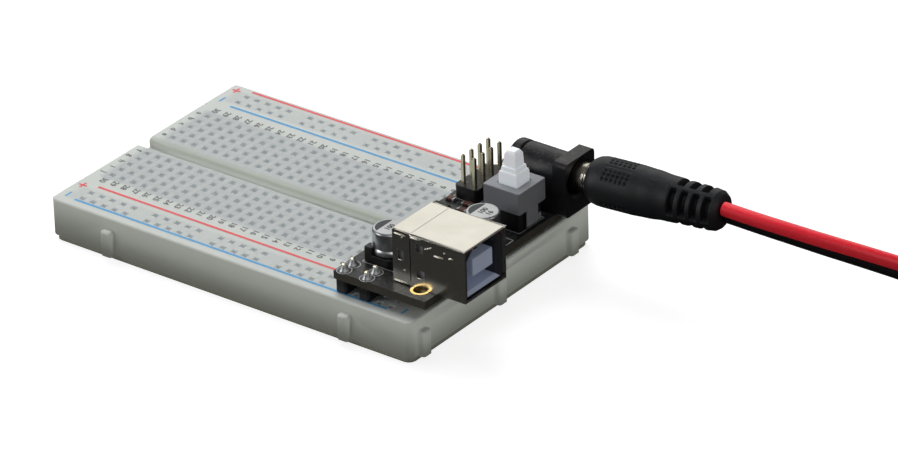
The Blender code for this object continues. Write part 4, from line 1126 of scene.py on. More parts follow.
def plug():
    """Barrel of the DC plug and its moulded grip with a slotted strain relief."""
    bm = bmesh.new()
    tip = -1.4 * MM
    bore = 1.3 * MM
    profile = [
        (tip + 8.4 * MM, 0.05 * MM),
        (tip + 8.4 * MM, bore),
        (tip + 0.2 * MM, bore),
        (tip, bore + 0.2 * MM),
        (tip, SLEEVE_RADIUS - 0.35 * MM),
        (tip + 0.1 * MM, SLEEVE_RADIUS - 0.12 * MM),
        (tip + 0.35 * MM, SLEEVE_RADIUS),
        (tip + 8.6 * MM, SLEEVE_RADIUS),
        (tip + 8.75 * MM, SLEEVE_RADIUS - 0.12 * MM),
        (tip + 9.0 * MM, SLEEVE_RADIUS - 0.12 * MM),
        (tip + 9.1 * MM, SLEEVE_RADIUS),
        (tip + 12.2 * MM, SLEEVE_RADIUS),
    ]
    turn(bm, profile, 64, PLUG_PLACE)
    piece("plug_barrel", bm, NICKEL, "plug", ["plug_sleeve"])

    total = GRIP_LENGTH + RELIEF_LENGTH
    stations = [0.0, 0.12, 0.25, 0.45, 0.7, 1.0, 1.4, 2.0, 2.6, 3.2]
    stations += [3.2 + 0.11 * step for step in range(1, 58)]
    stations += [9.6 + 0.5 * step for step in range(1, 12)]
    stations += [15.2 + 0.6 * step for step in range(1, 4)]
    stations += [17.1 + 0.13 * step for step in range(1, 71)]
    stations += [26.4, 26.6, 26.8, 26.95, 27.08, 27.18, 27.25, 27.3]
    sides = 176
    place = PLUG_PLACE @ Matrix.Translation((PLUG_FACE, 0.0, 0.0))
    mouth = SLEEVE_RADIUS + 0.05 * MM
    first = [(mouth * math.cos(a), mouth * math.sin(a)) for a in ring_angles(sides)]
    rings = [[place @ Vector((0.0, y, z)) for y, z in first]]
    for station in stations:
        along = min(station * MM, total)
        ring = []
        for angle in ring_angles(sides):
            radius = grip_radius(along) - grip_recess(along, angle)
            ring.append(place @ Vector((along, radius * math.cos(angle), radius * math.sin(angle))))
        rings.append(ring)
    bm = bmesh.new()
    loft(bm, rings)
    piece("plug_grip_moulding", bm, RUBBER, "plug", ["plug_grip"], crease=40)


def ring_angles(sides):
    return [2 * math.pi * side / sides for side in range(sides)]


# ---------------------------------------------------------------- breadboard

CHANNEL_HALF = 1.5 * MM
CHANNEL_FLOOR = BOARD_TOP - 2.2 * MM
CHANNEL_SHOULDER = 1.1 * MM
SLOT_TOP = BOARD_TOP - 2.0 * MM
SLOT_HALF = 0.95 * MM
SLOT_OVERRUN = 1.3 * MM
HOLE_HALF = 0.5 * MM
HOLE_LEAD_IN = 0.16 * MM
TAB_TOP = 6.2 * MM
TAB_HALF = 1.2 * MM
TAB_FIT = 0.2 * MM
FRONT_TABS_X = (-27.5 * MM, 27.1 * MM)
END_TABS_Y = (-24.0 * MM, -1.5 * MM, 20.5 * MM)
CORNER_ROUND = 1.5 * MM
TOP_ROUND = 0.45 * MM
TAB_ROUND = 0.6 * MM
NOTCH_Y = (-17.9 * MM, 17.7 * MM)
NOTCH_HALF = 0.3 * MM
NOTCH_REACH = 0.6 * MM
NOTCH_FLOOR = BOARD_TOP - 1.5 * MM


def near(value, places, half):
    return any(abs(value - place) < half for place in places)


def housing_is_solid(x, y, z):
    """Whether the moulding has material at a point."""
    outside_x = abs(x) > BOARD_END
    outside_y = abs(y) > BOARD_SIDE
    if outside_x or outside_y:
        front = y < -BOARD_SIDE and not outside_x and near(x, FRONT_TABS_X, TAB_HALF)
        end = x > BOARD_END and not outside_y and near(y, END_TABS_Y, TAB_HALF)
        return (front or end) and z < TAB_TOP
    socket = z < TAB_TOP + TAB_FIT
    deep, half = TAB_REACH + TAB_FIT, TAB_HALF + TAB_FIT
    if socket and y > BOARD_SIDE - deep and near(x, FRONT_TABS_X, half):
        return False
    if socket and x < -BOARD_END + deep and near(y, END_TABS_Y, half):
        return False
    if abs(y) < CHANNEL_HALF and z > CHANNEL_FLOOR:
        return False
    if x < -BOARD_END + NOTCH_REACH and z > NOTCH_FLOOR and near(y, NOTCH_Y, NOTCH_HALF):
        return False
    bank = abs(y) < 8.0 * PITCH
    columns = COLUMN_X if bank else BUS_X
    if z > SLOT_TOP:
        rows = BANK_ROWS if bank else BUS_ROWS
        on_row = near(abs(y), [row * PITCH for row in rows], HOLE_HALF)
        return not (on_row and near(x, columns, HOLE_HALF))
    if bank:
        middle = 3.5 * PITCH
        along = abs(abs(y) - middle) < 2 * PITCH + SLOT_OVERRUN
        return not (along and near(x, COLUMN_X, SLOT_HALF))
    within = BUS_X[0] - SLOT_OVERRUN < x < BUS_X[-1] + SLOT_OVERRUN
    return not (within and near(abs(y), [row * PITCH for row in BUS_ROWS], SLOT_HALF))


def cuts(centres, half):
    return [centre + side * half for centre in centres for side in (-1, 1)]


def housing_grid():
    rows = [side * row * PITCH for side in (-1, 1) for row in BANK_ROWS + BUS_ROWS]
    banks = [side * 3.5 * PITCH for side in (-1, 1)]
    bus_rows = [side * row * PITCH for side in (-1, 1) for row in BUS_ROWS]
    xs = cuts([0.0], BOARD_END) + [BOARD_END + TAB_REACH, -BOARD_END + TAB_REACH + TAB_FIT]
    xs += cuts(COLUMN_X + BUS_X, HOLE_HALF) + cuts(COLUMN_X, SLOT_HALF)
    xs += [BUS_X[0] - SLOT_OVERRUN, BUS_X[-1] + SLOT_OVERRUN, -BOARD_END + NOTCH_REACH]
    xs += cuts(FRONT_TABS_X, TAB_HALF) + cuts(FRONT_TABS_X, TAB_HALF + TAB_FIT)
    ys = cuts([0.0], BOARD_SIDE) + [-BOARD_SIDE - TAB_REACH, BOARD_SIDE - TAB_REACH - TAB_FIT]
    ys += cuts(rows, HOLE_HALF) + cuts(banks, 2 * PITCH + SLOT_OVERRUN) + cuts(bus_rows, SLOT_HALF)
    ys += cuts([0.0], CHANNEL_HALF) + cuts(NOTCH_Y, NOTCH_HALF)
    ys += cuts(END_TABS_Y, TAB_HALF) + cuts(END_TABS_Y, TAB_HALF + TAB_FIT)
    zs = [HOUSING_LOW.z, TAB_TOP, CHANNEL_FLOOR, TAB_TOP + TAB_FIT, SLOT_TOP, NOTCH_FLOOR]
    zs += [BOARD_TOP - HOLE_LEAD_IN, BOARD_TOP]
    return [spread_out(values) for values in (xs, ys, zs)]


def spread_out(values):
    """Sorted cut lines, without those that fall on each other."""
    kept = []
    for value in sorted(values):
        if not kept or value - kept[-1] > 0.02 * MM:
            kept.append(value)
    return kept


def housing_mesh():
    """Faces between filled and empty cells of the cut grid."""
    xs, ys, zs = housing_grid()
    middle = [[(a + b) / 2 for a, b in zip(line, line[1:])] for line in (xs, ys, zs)]
    solid = {
        (i, j, k)
        for i, x in enumerate(middle[0])
        for j, y in enumerate(middle[1])
        for k, z in enumerate(middle[2])
        if housing_is_solid(x, y, z)
    }
    bm = bmesh.new()
    made = {}

    def corner(i, j, k):
        if (i, j, k) not in made:
            made[i, j, k] = bm.verts.new((xs[i], ys[j], zs[k]))
        return made[i, j, k]

    walls = {
        (1, 0, 0): ((1, 0, 0), (1, 1, 0), (1, 1, 1), (1, 0, 1)),
        (-1, 0, 0): ((0, 0, 0), (0, 0, 1), (0, 1, 1), (0, 1, 0)),
        (0, 1, 0): ((0, 1, 0), (0, 1, 1), (1, 1, 1), (1, 1, 0)),
        (0, -1, 0): ((0, 0, 0), (1, 0, 0), (1, 0, 1), (0, 0, 1)),
        (0, 0, 1): ((0, 0, 1), (1, 0, 1), (1, 1, 1), (0, 1, 1)),
        (0, 0, -1): ((0, 0, 0), (0, 1, 0), (1, 1, 0), (1, 0, 0)),
    }
    for i, j, k in solid:
        for (di, dj, dk), wall in walls.items():
            if (i + di, j + dj, k + dk) not in solid:
                bm.faces.new([corner(i + a, j + b, k + c) for a, b, c in wall])
    return bm


def open_hole_mouths(bm):
    """Flare the top of every contact hole into a small lead-in."""
    rows = [row * PITCH for row in BANK_ROWS + BUS_ROWS]
    for vert in bm.verts:
        x, y, z = vert.co
        if z < BOARD_TOP - 0.01 * MM:
            continue
        columns = COLUMN_X if abs(y) < 8.0 * PITCH else BUS_X
        for row in rows:
            if abs(abs(abs(y) - row) - HOLE_HALF) > 0.01 * MM:
                continue
            for column in columns:
                if abs(abs(x - column) - HOLE_HALF) < 0.01 * MM:
                    vert.co.x += math.copysign(HOLE_LEAD_IN, x - column)
                    middle = math.copysign(row, y)
                    vert.co.y += math.copysign(HOLE_LEAD_IN, y - middle)


def mark_round_edges(bm):
    """Weights for the bevel: full at the upright corners, and less where the mould is sharper."""
    layer = bm.edges.layers.float.new("bevel_weight_edge")
    hair = 0.01 * MM
    for edge in bm.edges:
        if len(edge.link_faces) != 2:
            continue
        if edge.link_faces[0].normal.dot(edge.link_faces[1].normal) > 0.5:
            continue
        a, b = (vert.co for vert in edge.verts)
        middle = (a + b) / 2
        on_top = abs(middle.z - BOARD_TOP) < hair
        at_side = abs(abs(middle.y) - BOARD_SIDE) < hair
        at_end = abs(abs(middle.x) - BOARD_END) < hair
        level = abs(a.z - b.z) < hair
        beyond = middle.y < -BOARD_SIDE - hair or middle.x > BOARD_END + hair
        if at_side and at_end and not level:
            edge[layer] = 1.0
        elif on_top and (at_side or at_end):
            edge[layer] = TOP_ROUND / CORNER_ROUND
        elif on_top and abs(abs(middle.y) - CHANNEL_HALF) < hair:
            edge[layer] = CHANNEL_SHOULDER / CORNER_ROUND
        elif beyond and middle.z > HOUSING_LOW.z + hair:
            edge[layer] = TAB_ROUND / CORNER_ROUND


def housing():
    """The ivory moulding: holes with lead-ins, clip slots below, groove, ribs and sockets."""
    bm = housing_mesh()
    open_hole_mouths(bm)
    bmesh.ops.recalc_face_normals(bm, faces=bm.faces)
    bmesh.ops.dissolve_limit(bm, angle_limit=0.01, verts=bm.verts, edges=bm.edges)
    mark_round_edges(bm)
    skin = 0.05 * MM
    for face in bm.faces:
        x, y, z = face.calc_center_median()
        rim = TAB_REACH + TAB_FIT + skin
        outer = abs(x) > BOARD_END - rim or abs(y) > BOARD_SIDE - rim
        upper = z > BOARD_TOP - HOLE_LEAD_IN - skin
        groove = abs(y) < CHANNEL_HALF + skin and z > CHANNEL_FLOOR - skin
        face.material_index = 0 if outer or upper or groove else 1
    made = piece(
        "breadboard_housing", bm, [IVORY, IVORY_INSIDE], "board", ["housing"], 0
    )
    ease_edges(made, CORNER_ROUND, 5, by_weight=True)


def printed_lines():
    """Rail lines and their plus and minus marks at both ends."""
    half = 0.29 * MM
    z = BOARD_TOP + SKIN
    end = 38.75 * MM
    for name, finish, lines, signs in (
        ("red_rail_lines", RED_INK, ((-19.1, -35.9), (26.2, -35.8)), ((-20.1, 1), (25.1, 1))),
        ("blue_rail_lines", BLUE_INK, ((-25.2, -36.5), (19.45, -35.7)), ((-24.2, 0), (20.9, 0))),
    ):
        bm = bmesh.new()
        for y, start in lines:
            shifted = start * MM + GRID_SHIFT
            low = (shifted, y * MM - half, z - SKIN / 2)
            block(bm, low, (35.6 * MM + GRID_SHIFT, y * MM + half, z))
        for y, crossed in signs:
            for x in (-end + GRID_SHIFT, end + GRID_SHIFT):
                arm, stroke = 0.95 * MM, 0.2 * MM
                low = (x - stroke, y * MM - arm, z - SKIN / 2)
                block(bm, low, (x + stroke, y * MM + arm, z))
                if crossed:
                    for start, stop in ((-arm, -stroke), (stroke, arm)):
                        low = (x + start, y * MM - stroke, z - SKIN / 2)
                        block(bm, low, (x + stop, y * MM + stroke, z))
        piece(name, bm, finish, "board")


def printed_characters():
    """Column numbers along both banks and row letters at both ends."""
    size = 1.75 * MM
    turned = Matrix.Rotation(-math.pi / 2, 4, "Z")
    numbers = bmesh.new()
    for column, x in enumerate(reversed(COLUMN_X), 1):
        for y in (-16.5 * MM, 16.5 * MM):
            place = Matrix.Translation((x, y, BOARD_TOP + SKIN)) @ turned
            lettering(numbers, str(column), size, place)
    piece("column_numbers", numbers, GREY_INK, "board")
    letters = bmesh.new()
    rows = [row * PITCH for row in BANK_ROWS]
    places = [-row for row in reversed(rows)] + rows
    for letter, y in zip("jihgfedcba", places):
        for x in (-39.6 * MM, 38.6 * MM):
            place = Matrix.Translation((x, y, BOARD_TOP + SKIN)) @ turned
            lettering(letters, letter, size, place)
    piece("row_letters", letters, GREY_INK, "board")


# ---------------------------------------------------------------- power module

PIN_HALF = 0.32 * MM


def pin_rings(x, y, levels):
    corners = ((-1, -1), (1, -1), (1, 1), (-1, 1))
    return [[Vector((x + i * half, y + j * half, z)) for i, j in corners] for z, half in levels]


def rail_pins():
    """Square pins of the rail headers, each with a soldered joint on the circuit board."""
    for side in ("front", "back"):
        for number in (1, 2):
            for place in ("inner", "outer"):
                node = f"rail_pin_{side}_{number}_{place}"
                low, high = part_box(node)
                centre = (low + high) / 2
                tip = 0.2 * MM
                top = PCB_HIGH.z + 1.45 * MM
                levels = [
                    (low.z, PIN_HALF - tip),
                    (low.z + 2 * tip, PIN_HALF),
                    (top - tip, PIN_HALF),
                    (top, PIN_HALF - 0.75 * tip),
                ]
                bm = bmesh.new()
                loft(bm, pin_rings(centre.x, centre.y, levels))
                cone = [
                    (0.02, 1.04),
                    (0.1, 1.02),
                    (0.26, 0.9),
                    (0.48, 0.76),
                    (0.74, 0.64),
                    (0.96, 0.55),
                    (1.14, 0.46),
                    (1.24, 0.32),
                ]
                profile = [(along * MM, radius * MM) for along, radius in cone]
                turn(bm, profile, 32, upright(centre.x, centre.y, PCB_HIGH.z), 1)
                name = f"soldered_{node}"
                piece(name, bm, [PIN_BRASS, SOLDER], "power_module", [node])


def rail_header_blocks():
    """Black blocks of the rail headers, with the vee where they snap apart."""
    for side in ("front", "back"):
        for number in (1, 2):
            node = f"rail_header_{side}_{number}"
            low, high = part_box(node)
            middle = (low.y + high.y) / 2
            notch = 0.35 * MM
            half = [
                (low.x + notch, low.y),
                (high.x - notch, low.y),
                (high.x, low.y + notch),
                (high.x, middle - notch),
                (high.x - notch, middle),
                (high.x, middle + notch),
                (high.x, high.y - notch),
                (high.x - notch, high.y),
                (low.x + notch, high.y),
                (low.x, high.y - notch),
                (low.x, middle + notch),
                (low.x + notch, middle),
                (low.x, middle - notch),
                (low.x, low.y + notch),
            ]
            bm = bmesh.new()
            loft(bm, [[Vector((x, y, z)) for x, y in half] for z in (low.z, high.z)])
            made = piece(f"{node}_block", bm, BLACK, "power_module", [node])
            ease_edges(made, 0.08 * MM, 2)


def selector_header():
    """Two by four pin header that picks each rail's voltage."""
    low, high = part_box("selector_header")
    notch = 0.5 * MM
    rows = 4
    outline = [(low.x + notch, low.y), (high.x - notch, low.y)]
    for row in range(rows):
        y = low.y + row * PITCH
        outline += [(high.x, y + notch), (high.x, y + PITCH - notch), (high.x - notch, y + PITCH)]
    outline.append((low.x + notch, high.y))
    for row in reversed(range(rows)):
        y = low.y + row * PITCH
        outline += [(low.x, y + PITCH - notch), (low.x, y + notch)]
        if row:
            outline.append((low.x + notch, y))
    bm = bmesh.new()
    loft(bm, [[Vector((x, y, z)) for x, y in outline] for z in (low.z, high.z)])
    made = piece(
        "selector_header_block", bm, BLACK, "power_module", ["selector_header"]
    )
    ease_edges(made, 0.1 * MM, 2)
    for column in (1, 2):
        for row in (1, 2, 3, 4):
            node = f"selector_pin_{column}_{row}"
            low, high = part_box(node)
            centre = (low + high) / 2
            tip = 0.22 * MM
            levels = [
                (low.z, PIN_HALF - tip),
                (low.z + 1.6 * tip, PIN_HALF),
                (high.z - 1.6 * tip, PIN_HALF),
                (high.z - 0.3 * tip, PIN_HALF - 0.8 * tip),
                (high.z, PIN_HALF - 1.1 * tip),
            ]
            bm = bmesh.new()
            loft(bm, pin_rings(centre.x, centre.y, levels))
            pin = piece(f"{node}_post", bm, PIN_BRASS, "power_module", [node], 0)
            ease_edges(pin, 0.06 * MM, 2)


def screw_hole_ring():
    """Gold-plated ring and barrel of the circuit board's screw hole."""
    bm = bmesh.new()
    x = PCB_HIGH.x - 3.3 * MM
    y = PCB_LOW.y + 3.0 * MM
    inner, hole, outer = 1.28 * MM, 1.48 * MM, 1.82 * MM
    washer(bm, x, y, PCB_HIGH.z + 0.01 * MM, inner, outer, 0.05 * MM, 48)
    washer(bm, x, y, PCB_LOW.z - 0.06 * MM, inner, outer, 0.05 * MM, 48)
    washer(bm, x, y, PCB_LOW.z, inner, hole, PCB_HIGH.z - PCB_LOW.z, 48)
    piece("screw_hole_plating", bm, GOLD, "power_module")


def outline_bar(bm, low, high, z, wide):
    """Printed rectangle drawn as four thin bars."""
    for start, end in (
        ((low[0], low[1]), (high[0], low[1] + wide)),
        ((low[0], high[1] - wide), (high[0], high[1])),
        ((low[0], low[1]), (low[0] + wide, high[1])),
        ((high[0] - wide, low[1]), (high[0], high[1])),
    ):
        block(bm, (*start, z), (*end, z + 0.015 * MM))


def board_legend():
    """White printing of the circuit board: rings round the rail pins and outlines of parts."""
    bm = bmesh.new()
    z = PCB_HIGH.z + 0.01 * MM
    for side in ("front", "back"):
        for number in (1, 2):
            for place in ("inner", "outer"):
                low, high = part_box(f"rail_pin_{side}_{number}_{place}")
                centre = (low + high) / 2
                washer(bm, centre.x, centre.y, z, 1.28 * MM, 1.42 * MM, 0.015 * MM)
    for node, margin in (
        ("capacitor_base_1", 0.35),
        ("capacitor_base_2", 0.3),
        ("selector_header", 0.3),
        ("regulator_1", 0.4),
        ("regulator_2", 0.4),
        ("switch_base", 0.4),
    ):
        low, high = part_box(node)
        edge = margin * MM
        outline_bar(
            bm, (low.x - edge, low.y - edge), (high.x + edge, high.y + edge), z, 0.14 * MM
        )
    for y in (-7.6 * MM, 0.3 * MM):
        block(bm, (33.4 * MM, y, z), (33.9 * MM, y + 1.4 * MM, z + 0.015 * MM))
    piece("board_legend", bm, SILK, "power_module")


def punched_sheet(bm, outline, holes, make_point, thick):
    """Flat sheet with rectangular windows, as a grid of cells between their edges."""
    (left, low), (right, high) = outline
    us = spread_out([left, right] + [edge for hole in holes for edge in (hole[0], hole[2])])
    vs = spread_out([low, high] + [edge for hole in holes for edge in (hole[1], hole[3])])

    def filled(u, v):
        return not any(a < u < c and b < v < d for a, b, c, d in holes)

    cells = {
        (i, j)
        for i, (a, b) in enumerate(zip(us, us[1:]))
        for j, (c, d) in enumerate(zip(vs, vs[1:]))
        if filled((a + b) / 2, (c + d) / 2)
    }
    made = {}

    def corner(i, j, k):
        if (i, j, k) not in made:
            made[i, j, k] = bm.verts.new(make_point(us[i], vs[j], k * thick))
        return made[i, j, k]

    for i, j in cells:
        for k in (0, 1):
            bm.faces.new([corner(i + a, j + b, k) for a, b in ((0, 0), (1, 0), (1, 1), (0, 1))])
        for (di, dj), ((a, b), (c, d)) in {
            (-1, 0): ((0, 0), (0, 1)),
            (1, 0): ((1, 0), (1, 1)),
            (0, -1): ((0, 0), (1, 0)),
            (0, 1): ((0, 1), (1, 1)),
        }.items():
            if (i + di, j + dj) not in cells:
                ends = [corner(i + a, j + b, 0), corner(i + c, j + d, 0)]
                bm.faces.new([*ends, corner(i + c, j + d, 1), corner(i + a, j + b, 1)])


def usb_shell():
    """Folded tin-plate shell: two punched sides, a folded top with its seam, and a back."""
    low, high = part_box("usb_shell")
    thick = 0.35 * MM
    seam = low.x + 3.9 * MM
    hair = 0.1 * MM
    bm = bmesh.new()

    def window(x, z, wide, tall):
        return (low.x + x * MM, low.z + z * MM, low.x + (x + wide) * MM, low.z + (z + tall) * MM)

    holes = [
        (seam - hair, low.z + 0.9 * MM, seam + hair, high.z),
        window(1.0, 4.7, 1.4, 1.8),
        window(5.2, 7.3, 1.6, 1.5),
        window(5.2, 2.15, 1.75, 1.5),
    ]
    side = ((low.x, low.z), (high.x, high.z - thick))
    punched_sheet(bm, side, holes, lambda u, v, w: Vector((u, low.y + w, v)), thick)
    punched_sheet(bm, side, holes, lambda u, v, w: Vector((u, high.y - w, v)), thick)
    top = ((low.x, low.y), (high.x, high.y))
    gap = [(seam - hair / 2, low.y + 0.5 * MM, seam + hair / 2, high.y - 0.5 * MM)]
    punched_sheet(bm, top, gap, lambda u, v, w: Vector((u, v, high.z - w)), thick)
    back = ((low.y + thick, low.z), (high.y - thick, high.z - thick))
    punched_sheet(bm, back, [], lambda u, v, w: Vector((low.x + w, u, v)), thick)
    floor = ((low.x + thick, low.y + thick), (high.x, high.y - thick))
    punched_sheet(bm, floor, [], lambda u, v, w: Vector((u, v, low.z + w)), thick)
    bmesh.ops.remove_doubles(bm, verts=bm.verts, dist=0.001 * MM)
    layer = bm.edges.layers.float.new("bevel_weight_edge")
    for edge in bm.edges:
        a, b = (vert.co for vert in edge.verts)
        on_fold = abs(a.y - b.y) < hair / 2 and min(a.y - low.y, high.y - a.y) < hair / 2
        at_mouth = min(a.x, b.x) > high.x - hair / 2
        if min(a.z, b.z) > high.z - hair / 2 and (on_fold or at_mouth):
            edge[layer] = 1.0
    made = piece("usb_socket_shell", bm, TIN, "power_module", ["usb_shell"])
    fold = made.modifiers.new("rounded_folds", "BEVEL")
    fold.width = 0.24 * MM
    fold.segments = 3
    fold.limit_method = "WEIGHT"
    presses = bmesh.new()
    proud = 0.2 * MM
    for x, z, wide, tall in (
        (0.45, 9.55, 2.5, 0.2),
        (2.05, 9.05, 0.32, 0.3),
        (2.45, 2.5, 0.35, 0.35),
        (4.0, 9.75, 2.3, 0.2),
        (7.2, 8.3, 0.55, 0.25),
        (7.75, 8.5, 0.5, 0.3),
        (8.35, 8.75, 0.4, 0.35),
        (9.2, 7.5, 2.0, 0.25),
        (11.4, 8.6, 0.35, 0.35),
        (12.5, 8.05, 0.9, 0.22),
        (1.2, 4.5, 1.1, 0.22),
        (5.3, 1.95, 1.5, 0.22),
    ):
        for y, step in ((low.y, -1), (high.y, 1)):
            near_edge, far_edge = sorted((y - step * proud / 4, y + step * proud))
            start = (low.x + x * MM, near_edge, low.z + z * MM)
            block(presses, start, (start[0] + wide * MM, far_edge, start[2] + tall * MM))
    marks = piece("usb_socket_presswork", presses, TIN, "power_module")
    ease_edges(marks, 0.09 * MM, 2)
    strips = bmesh.new()
    lip = 0.2 * MM
    for y, step in ((low.y, -1), (high.y, 1)):
        block(
            strips,
            (low.x + 0.2 * MM, min(y, y + step * lip), low.z),
            (seam - 0.3 * MM, max(y, y + step * lip), low.z + 0.3 * MM),
        )
    feet = piece("usb_socket_feet", strips, TIN, "power_module")
    ease_edges(feet, 0.08 * MM, 2)


def usb_insulator():
    """Insulating block: framed opening with chamfered upper corners, and the contact tongue."""
    low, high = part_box("usb_insulator")
    shell_low, shell_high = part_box("usb_shell")
    front = shell_high.x - 0.5 * MM
    centre = (shell_low + shell_high) / 2
    half_y, half_z, cut = 4.22 * MM, 3.89 * MM, 1.6 * MM
    back = high.x - 9.0 * MM

    def opening(x, grow):
        y, z, c = half_y + grow, half_z + grow, cut + grow / 2
        outline = [(-y, -z), (y, -z), (y, z - c), (y - c, z), (-y + c, z), (-y, z - c)]
        return [Vector((x, centre.y + a, centre.z + b)) for a, b in outline]

    outer = [
        (low.y, low.z),
        (high.y, low.z),
        (high.y, (low.z + high.z) / 2),
        (high.y, high.z),
        (low.y, high.z),
        (low.y, (low.z + high.z) / 2),
    ]
    bm = bmesh.new()
    rings = [
        [Vector((low.x, y, z)) for y, z in outer],
        [Vector((front, y, z)) for y, z in outer],
        opening(front, 0.55 * MM),
        opening(front - 0.6 * MM, 0.0),
        opening(back, 0.0),
    ]
    loft(bm, rings)
    bmesh.ops.recalc_face_normals(bm, faces=bm.faces)
    # Painted shade: the sill of the opening has the light insulator, the outer flanks the darker
    # grey plastic and everything else the dark shaded copy, in place of the shade inside the shell.
    for face in bm.faces:
        middle = face.calc_center_median()
        sill = face.normal.z > 0.6 and middle.z < centre.z
        flank = abs(face.normal.y) > 0.9 and abs(middle.y - centre.y) > half_y + 0.5 * MM
        face.material_index = 0 if sill else 2 if flank else 1
    finishes = [INSULATOR, SHADED_INSULATOR, GREY_PLASTIC]
    made = piece(
        "usb_socket_insulator", bm, finishes, "power_module", ["usb_insulator"]
    )
    ease_edges(made, 0.1 * MM, 2)
    tongue = bmesh.new()
    shift = 0.1 * MM
    low_corner = (back - 0.2 * MM, centre.y - 2.4 * MM, centre.z - 1.75 * MM + shift)
    high_corner = (back + 8.7 * MM, centre.y + 3.5 * MM, centre.z + 1.75 * MM + shift)
    block(tongue, low_corner, high_corner)
    made = piece("usb_socket_tongue", tongue, INSULATOR, "power_module")
    ease_edges(made, 0.25 * MM, 3)


CAPACITOR_SHIFT = {1: Vector((0.0, 0.0, 0.0)), 2: Vector((-0.5, 0.0, 0.0)) * MM}


def capacitors():
    """Cans with a crimped groove, a rolled rim and a printed top, on posted bases."""
    for number in (1, 2):
        low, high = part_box(f"capacitor_can_{number}")
        centre = (low + high) / 2 + CAPACITOR_SHIFT[number]
        radius = (high.x - low.x) / 2
        tall = high.z - low.z + 0.4 * MM
        profile = [(0.0, radius - 0.5 * MM), (0.0, radius - 0.3 * MM)]
        profile += [(0.08 * MM, radius - 0.08 * MM)]
        profile += [(0.25 * MM, radius), (0.8 * MM, radius), (1.0 * MM, radius - 0.08 * MM)]
        profile += [(1.25 * MM, radius - 0.25 * MM), (1.5 * MM, radius - 0.08 * MM)]
        profile += [(1.7 * MM, radius), (tall - 0.45 * MM, radius)]
        for step in range(1, 6):
            angle = math.pi / 2 * step / 5
            ease = 0.45 * MM
            rise, out = ease * math.sin(angle), ease * math.cos(angle)
            profile.append((tall - ease + rise, radius - ease + out))
        profile += [(tall - 0.03 * MM, radius - 0.6 * MM), (tall - 0.03 * MM, 0.05 * MM)]
        bm = bmesh.new()
        turn(bm, profile, 72, upright(centre.x, centre.y, low.z))
        name = f"capacitor_can_{number}"
        piece(f"{name}_shell", bm, ALUMINIUM, "power_module", [name])

        print_z = low.z + tall - 0.03 * MM
        marks = bmesh.new()
        reach = radius - 0.55 * MM
        chord = reach * 0.42
        span = math.acos(chord / reach)
        turns = [span - 2 * span * step / 16 for step in range(17)]
        points = [(-reach * math.cos(turn_by), reach * math.sin(turn_by)) for turn_by in turns]
        outline = [(centre.x + x, centre.y + y) for x, y in points]
        loft(marks, [[Vector((x, y, z)) for x, y in outline] for z in (print_z, print_z + SKIN)])
        turned = Matrix.Rotation(math.pi / 2, 4, "Z")
        for text, shift in (("100", 0.1), ("16", 1.5)):
            spot = (centre.x + shift * MM, centre.y, print_z + SKIN / 2)
            place = Matrix.Translation(spot) @ turned
            lettering(marks, text, 1.5 * MM, place)
        piece(f"{name}_marking", marks, DARK_INK, "power_module")


def capacitor_bases():
    """Black bases with two cut corners and posts that hug the can."""
    for number in (1, 2):
        node = f"capacitor_base_{number}"
        low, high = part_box(node)
        centre = (low + high) / 2 + CAPACITOR_SHIFT[number]
        half = (high.x - low.x) / 2
        cut = 1.4 * MM
        plate_top = low.z + 1.5 * MM
        radius = half - 0.05 * MM
        outline = [(-half, -half), (half - cut, -half), (half, -half + cut)]
        outline += [(half, half - cut), (half - cut, half), (-half, half)]
        bm = bmesh.new()
        loft(
            bm,
            [
                [Vector((centre.x + x, centre.y + y, z)) for x, y in outline]
                for z in (low.z, plate_top)
            ],
        )
        post = 1.7 * MM
        side = half - post
        start = math.asin(side / radius)
        arc = [start + (math.pi / 2 - 2 * start) * step / 8 for step in range(9)]
        for i, j in ((-1, 1), (-1, -1)):
            points = [(side, half), (half, half), (half, side)]
            points += [(radius * math.cos(angle), radius * math.sin(angle)) for angle in arc]
            loft(
                bm,
                [
                    [Vector((centre.x + i * x, centre.y + j * y, z)) for x, y in points]
                    for z in (plate_top - 0.3 * MM, high.z)
                ],
            )
        made = piece(f"{node}_moulding", bm, BLACK, "power_module", [node])
        ease_edges(made, 0.12 * MM, 2)


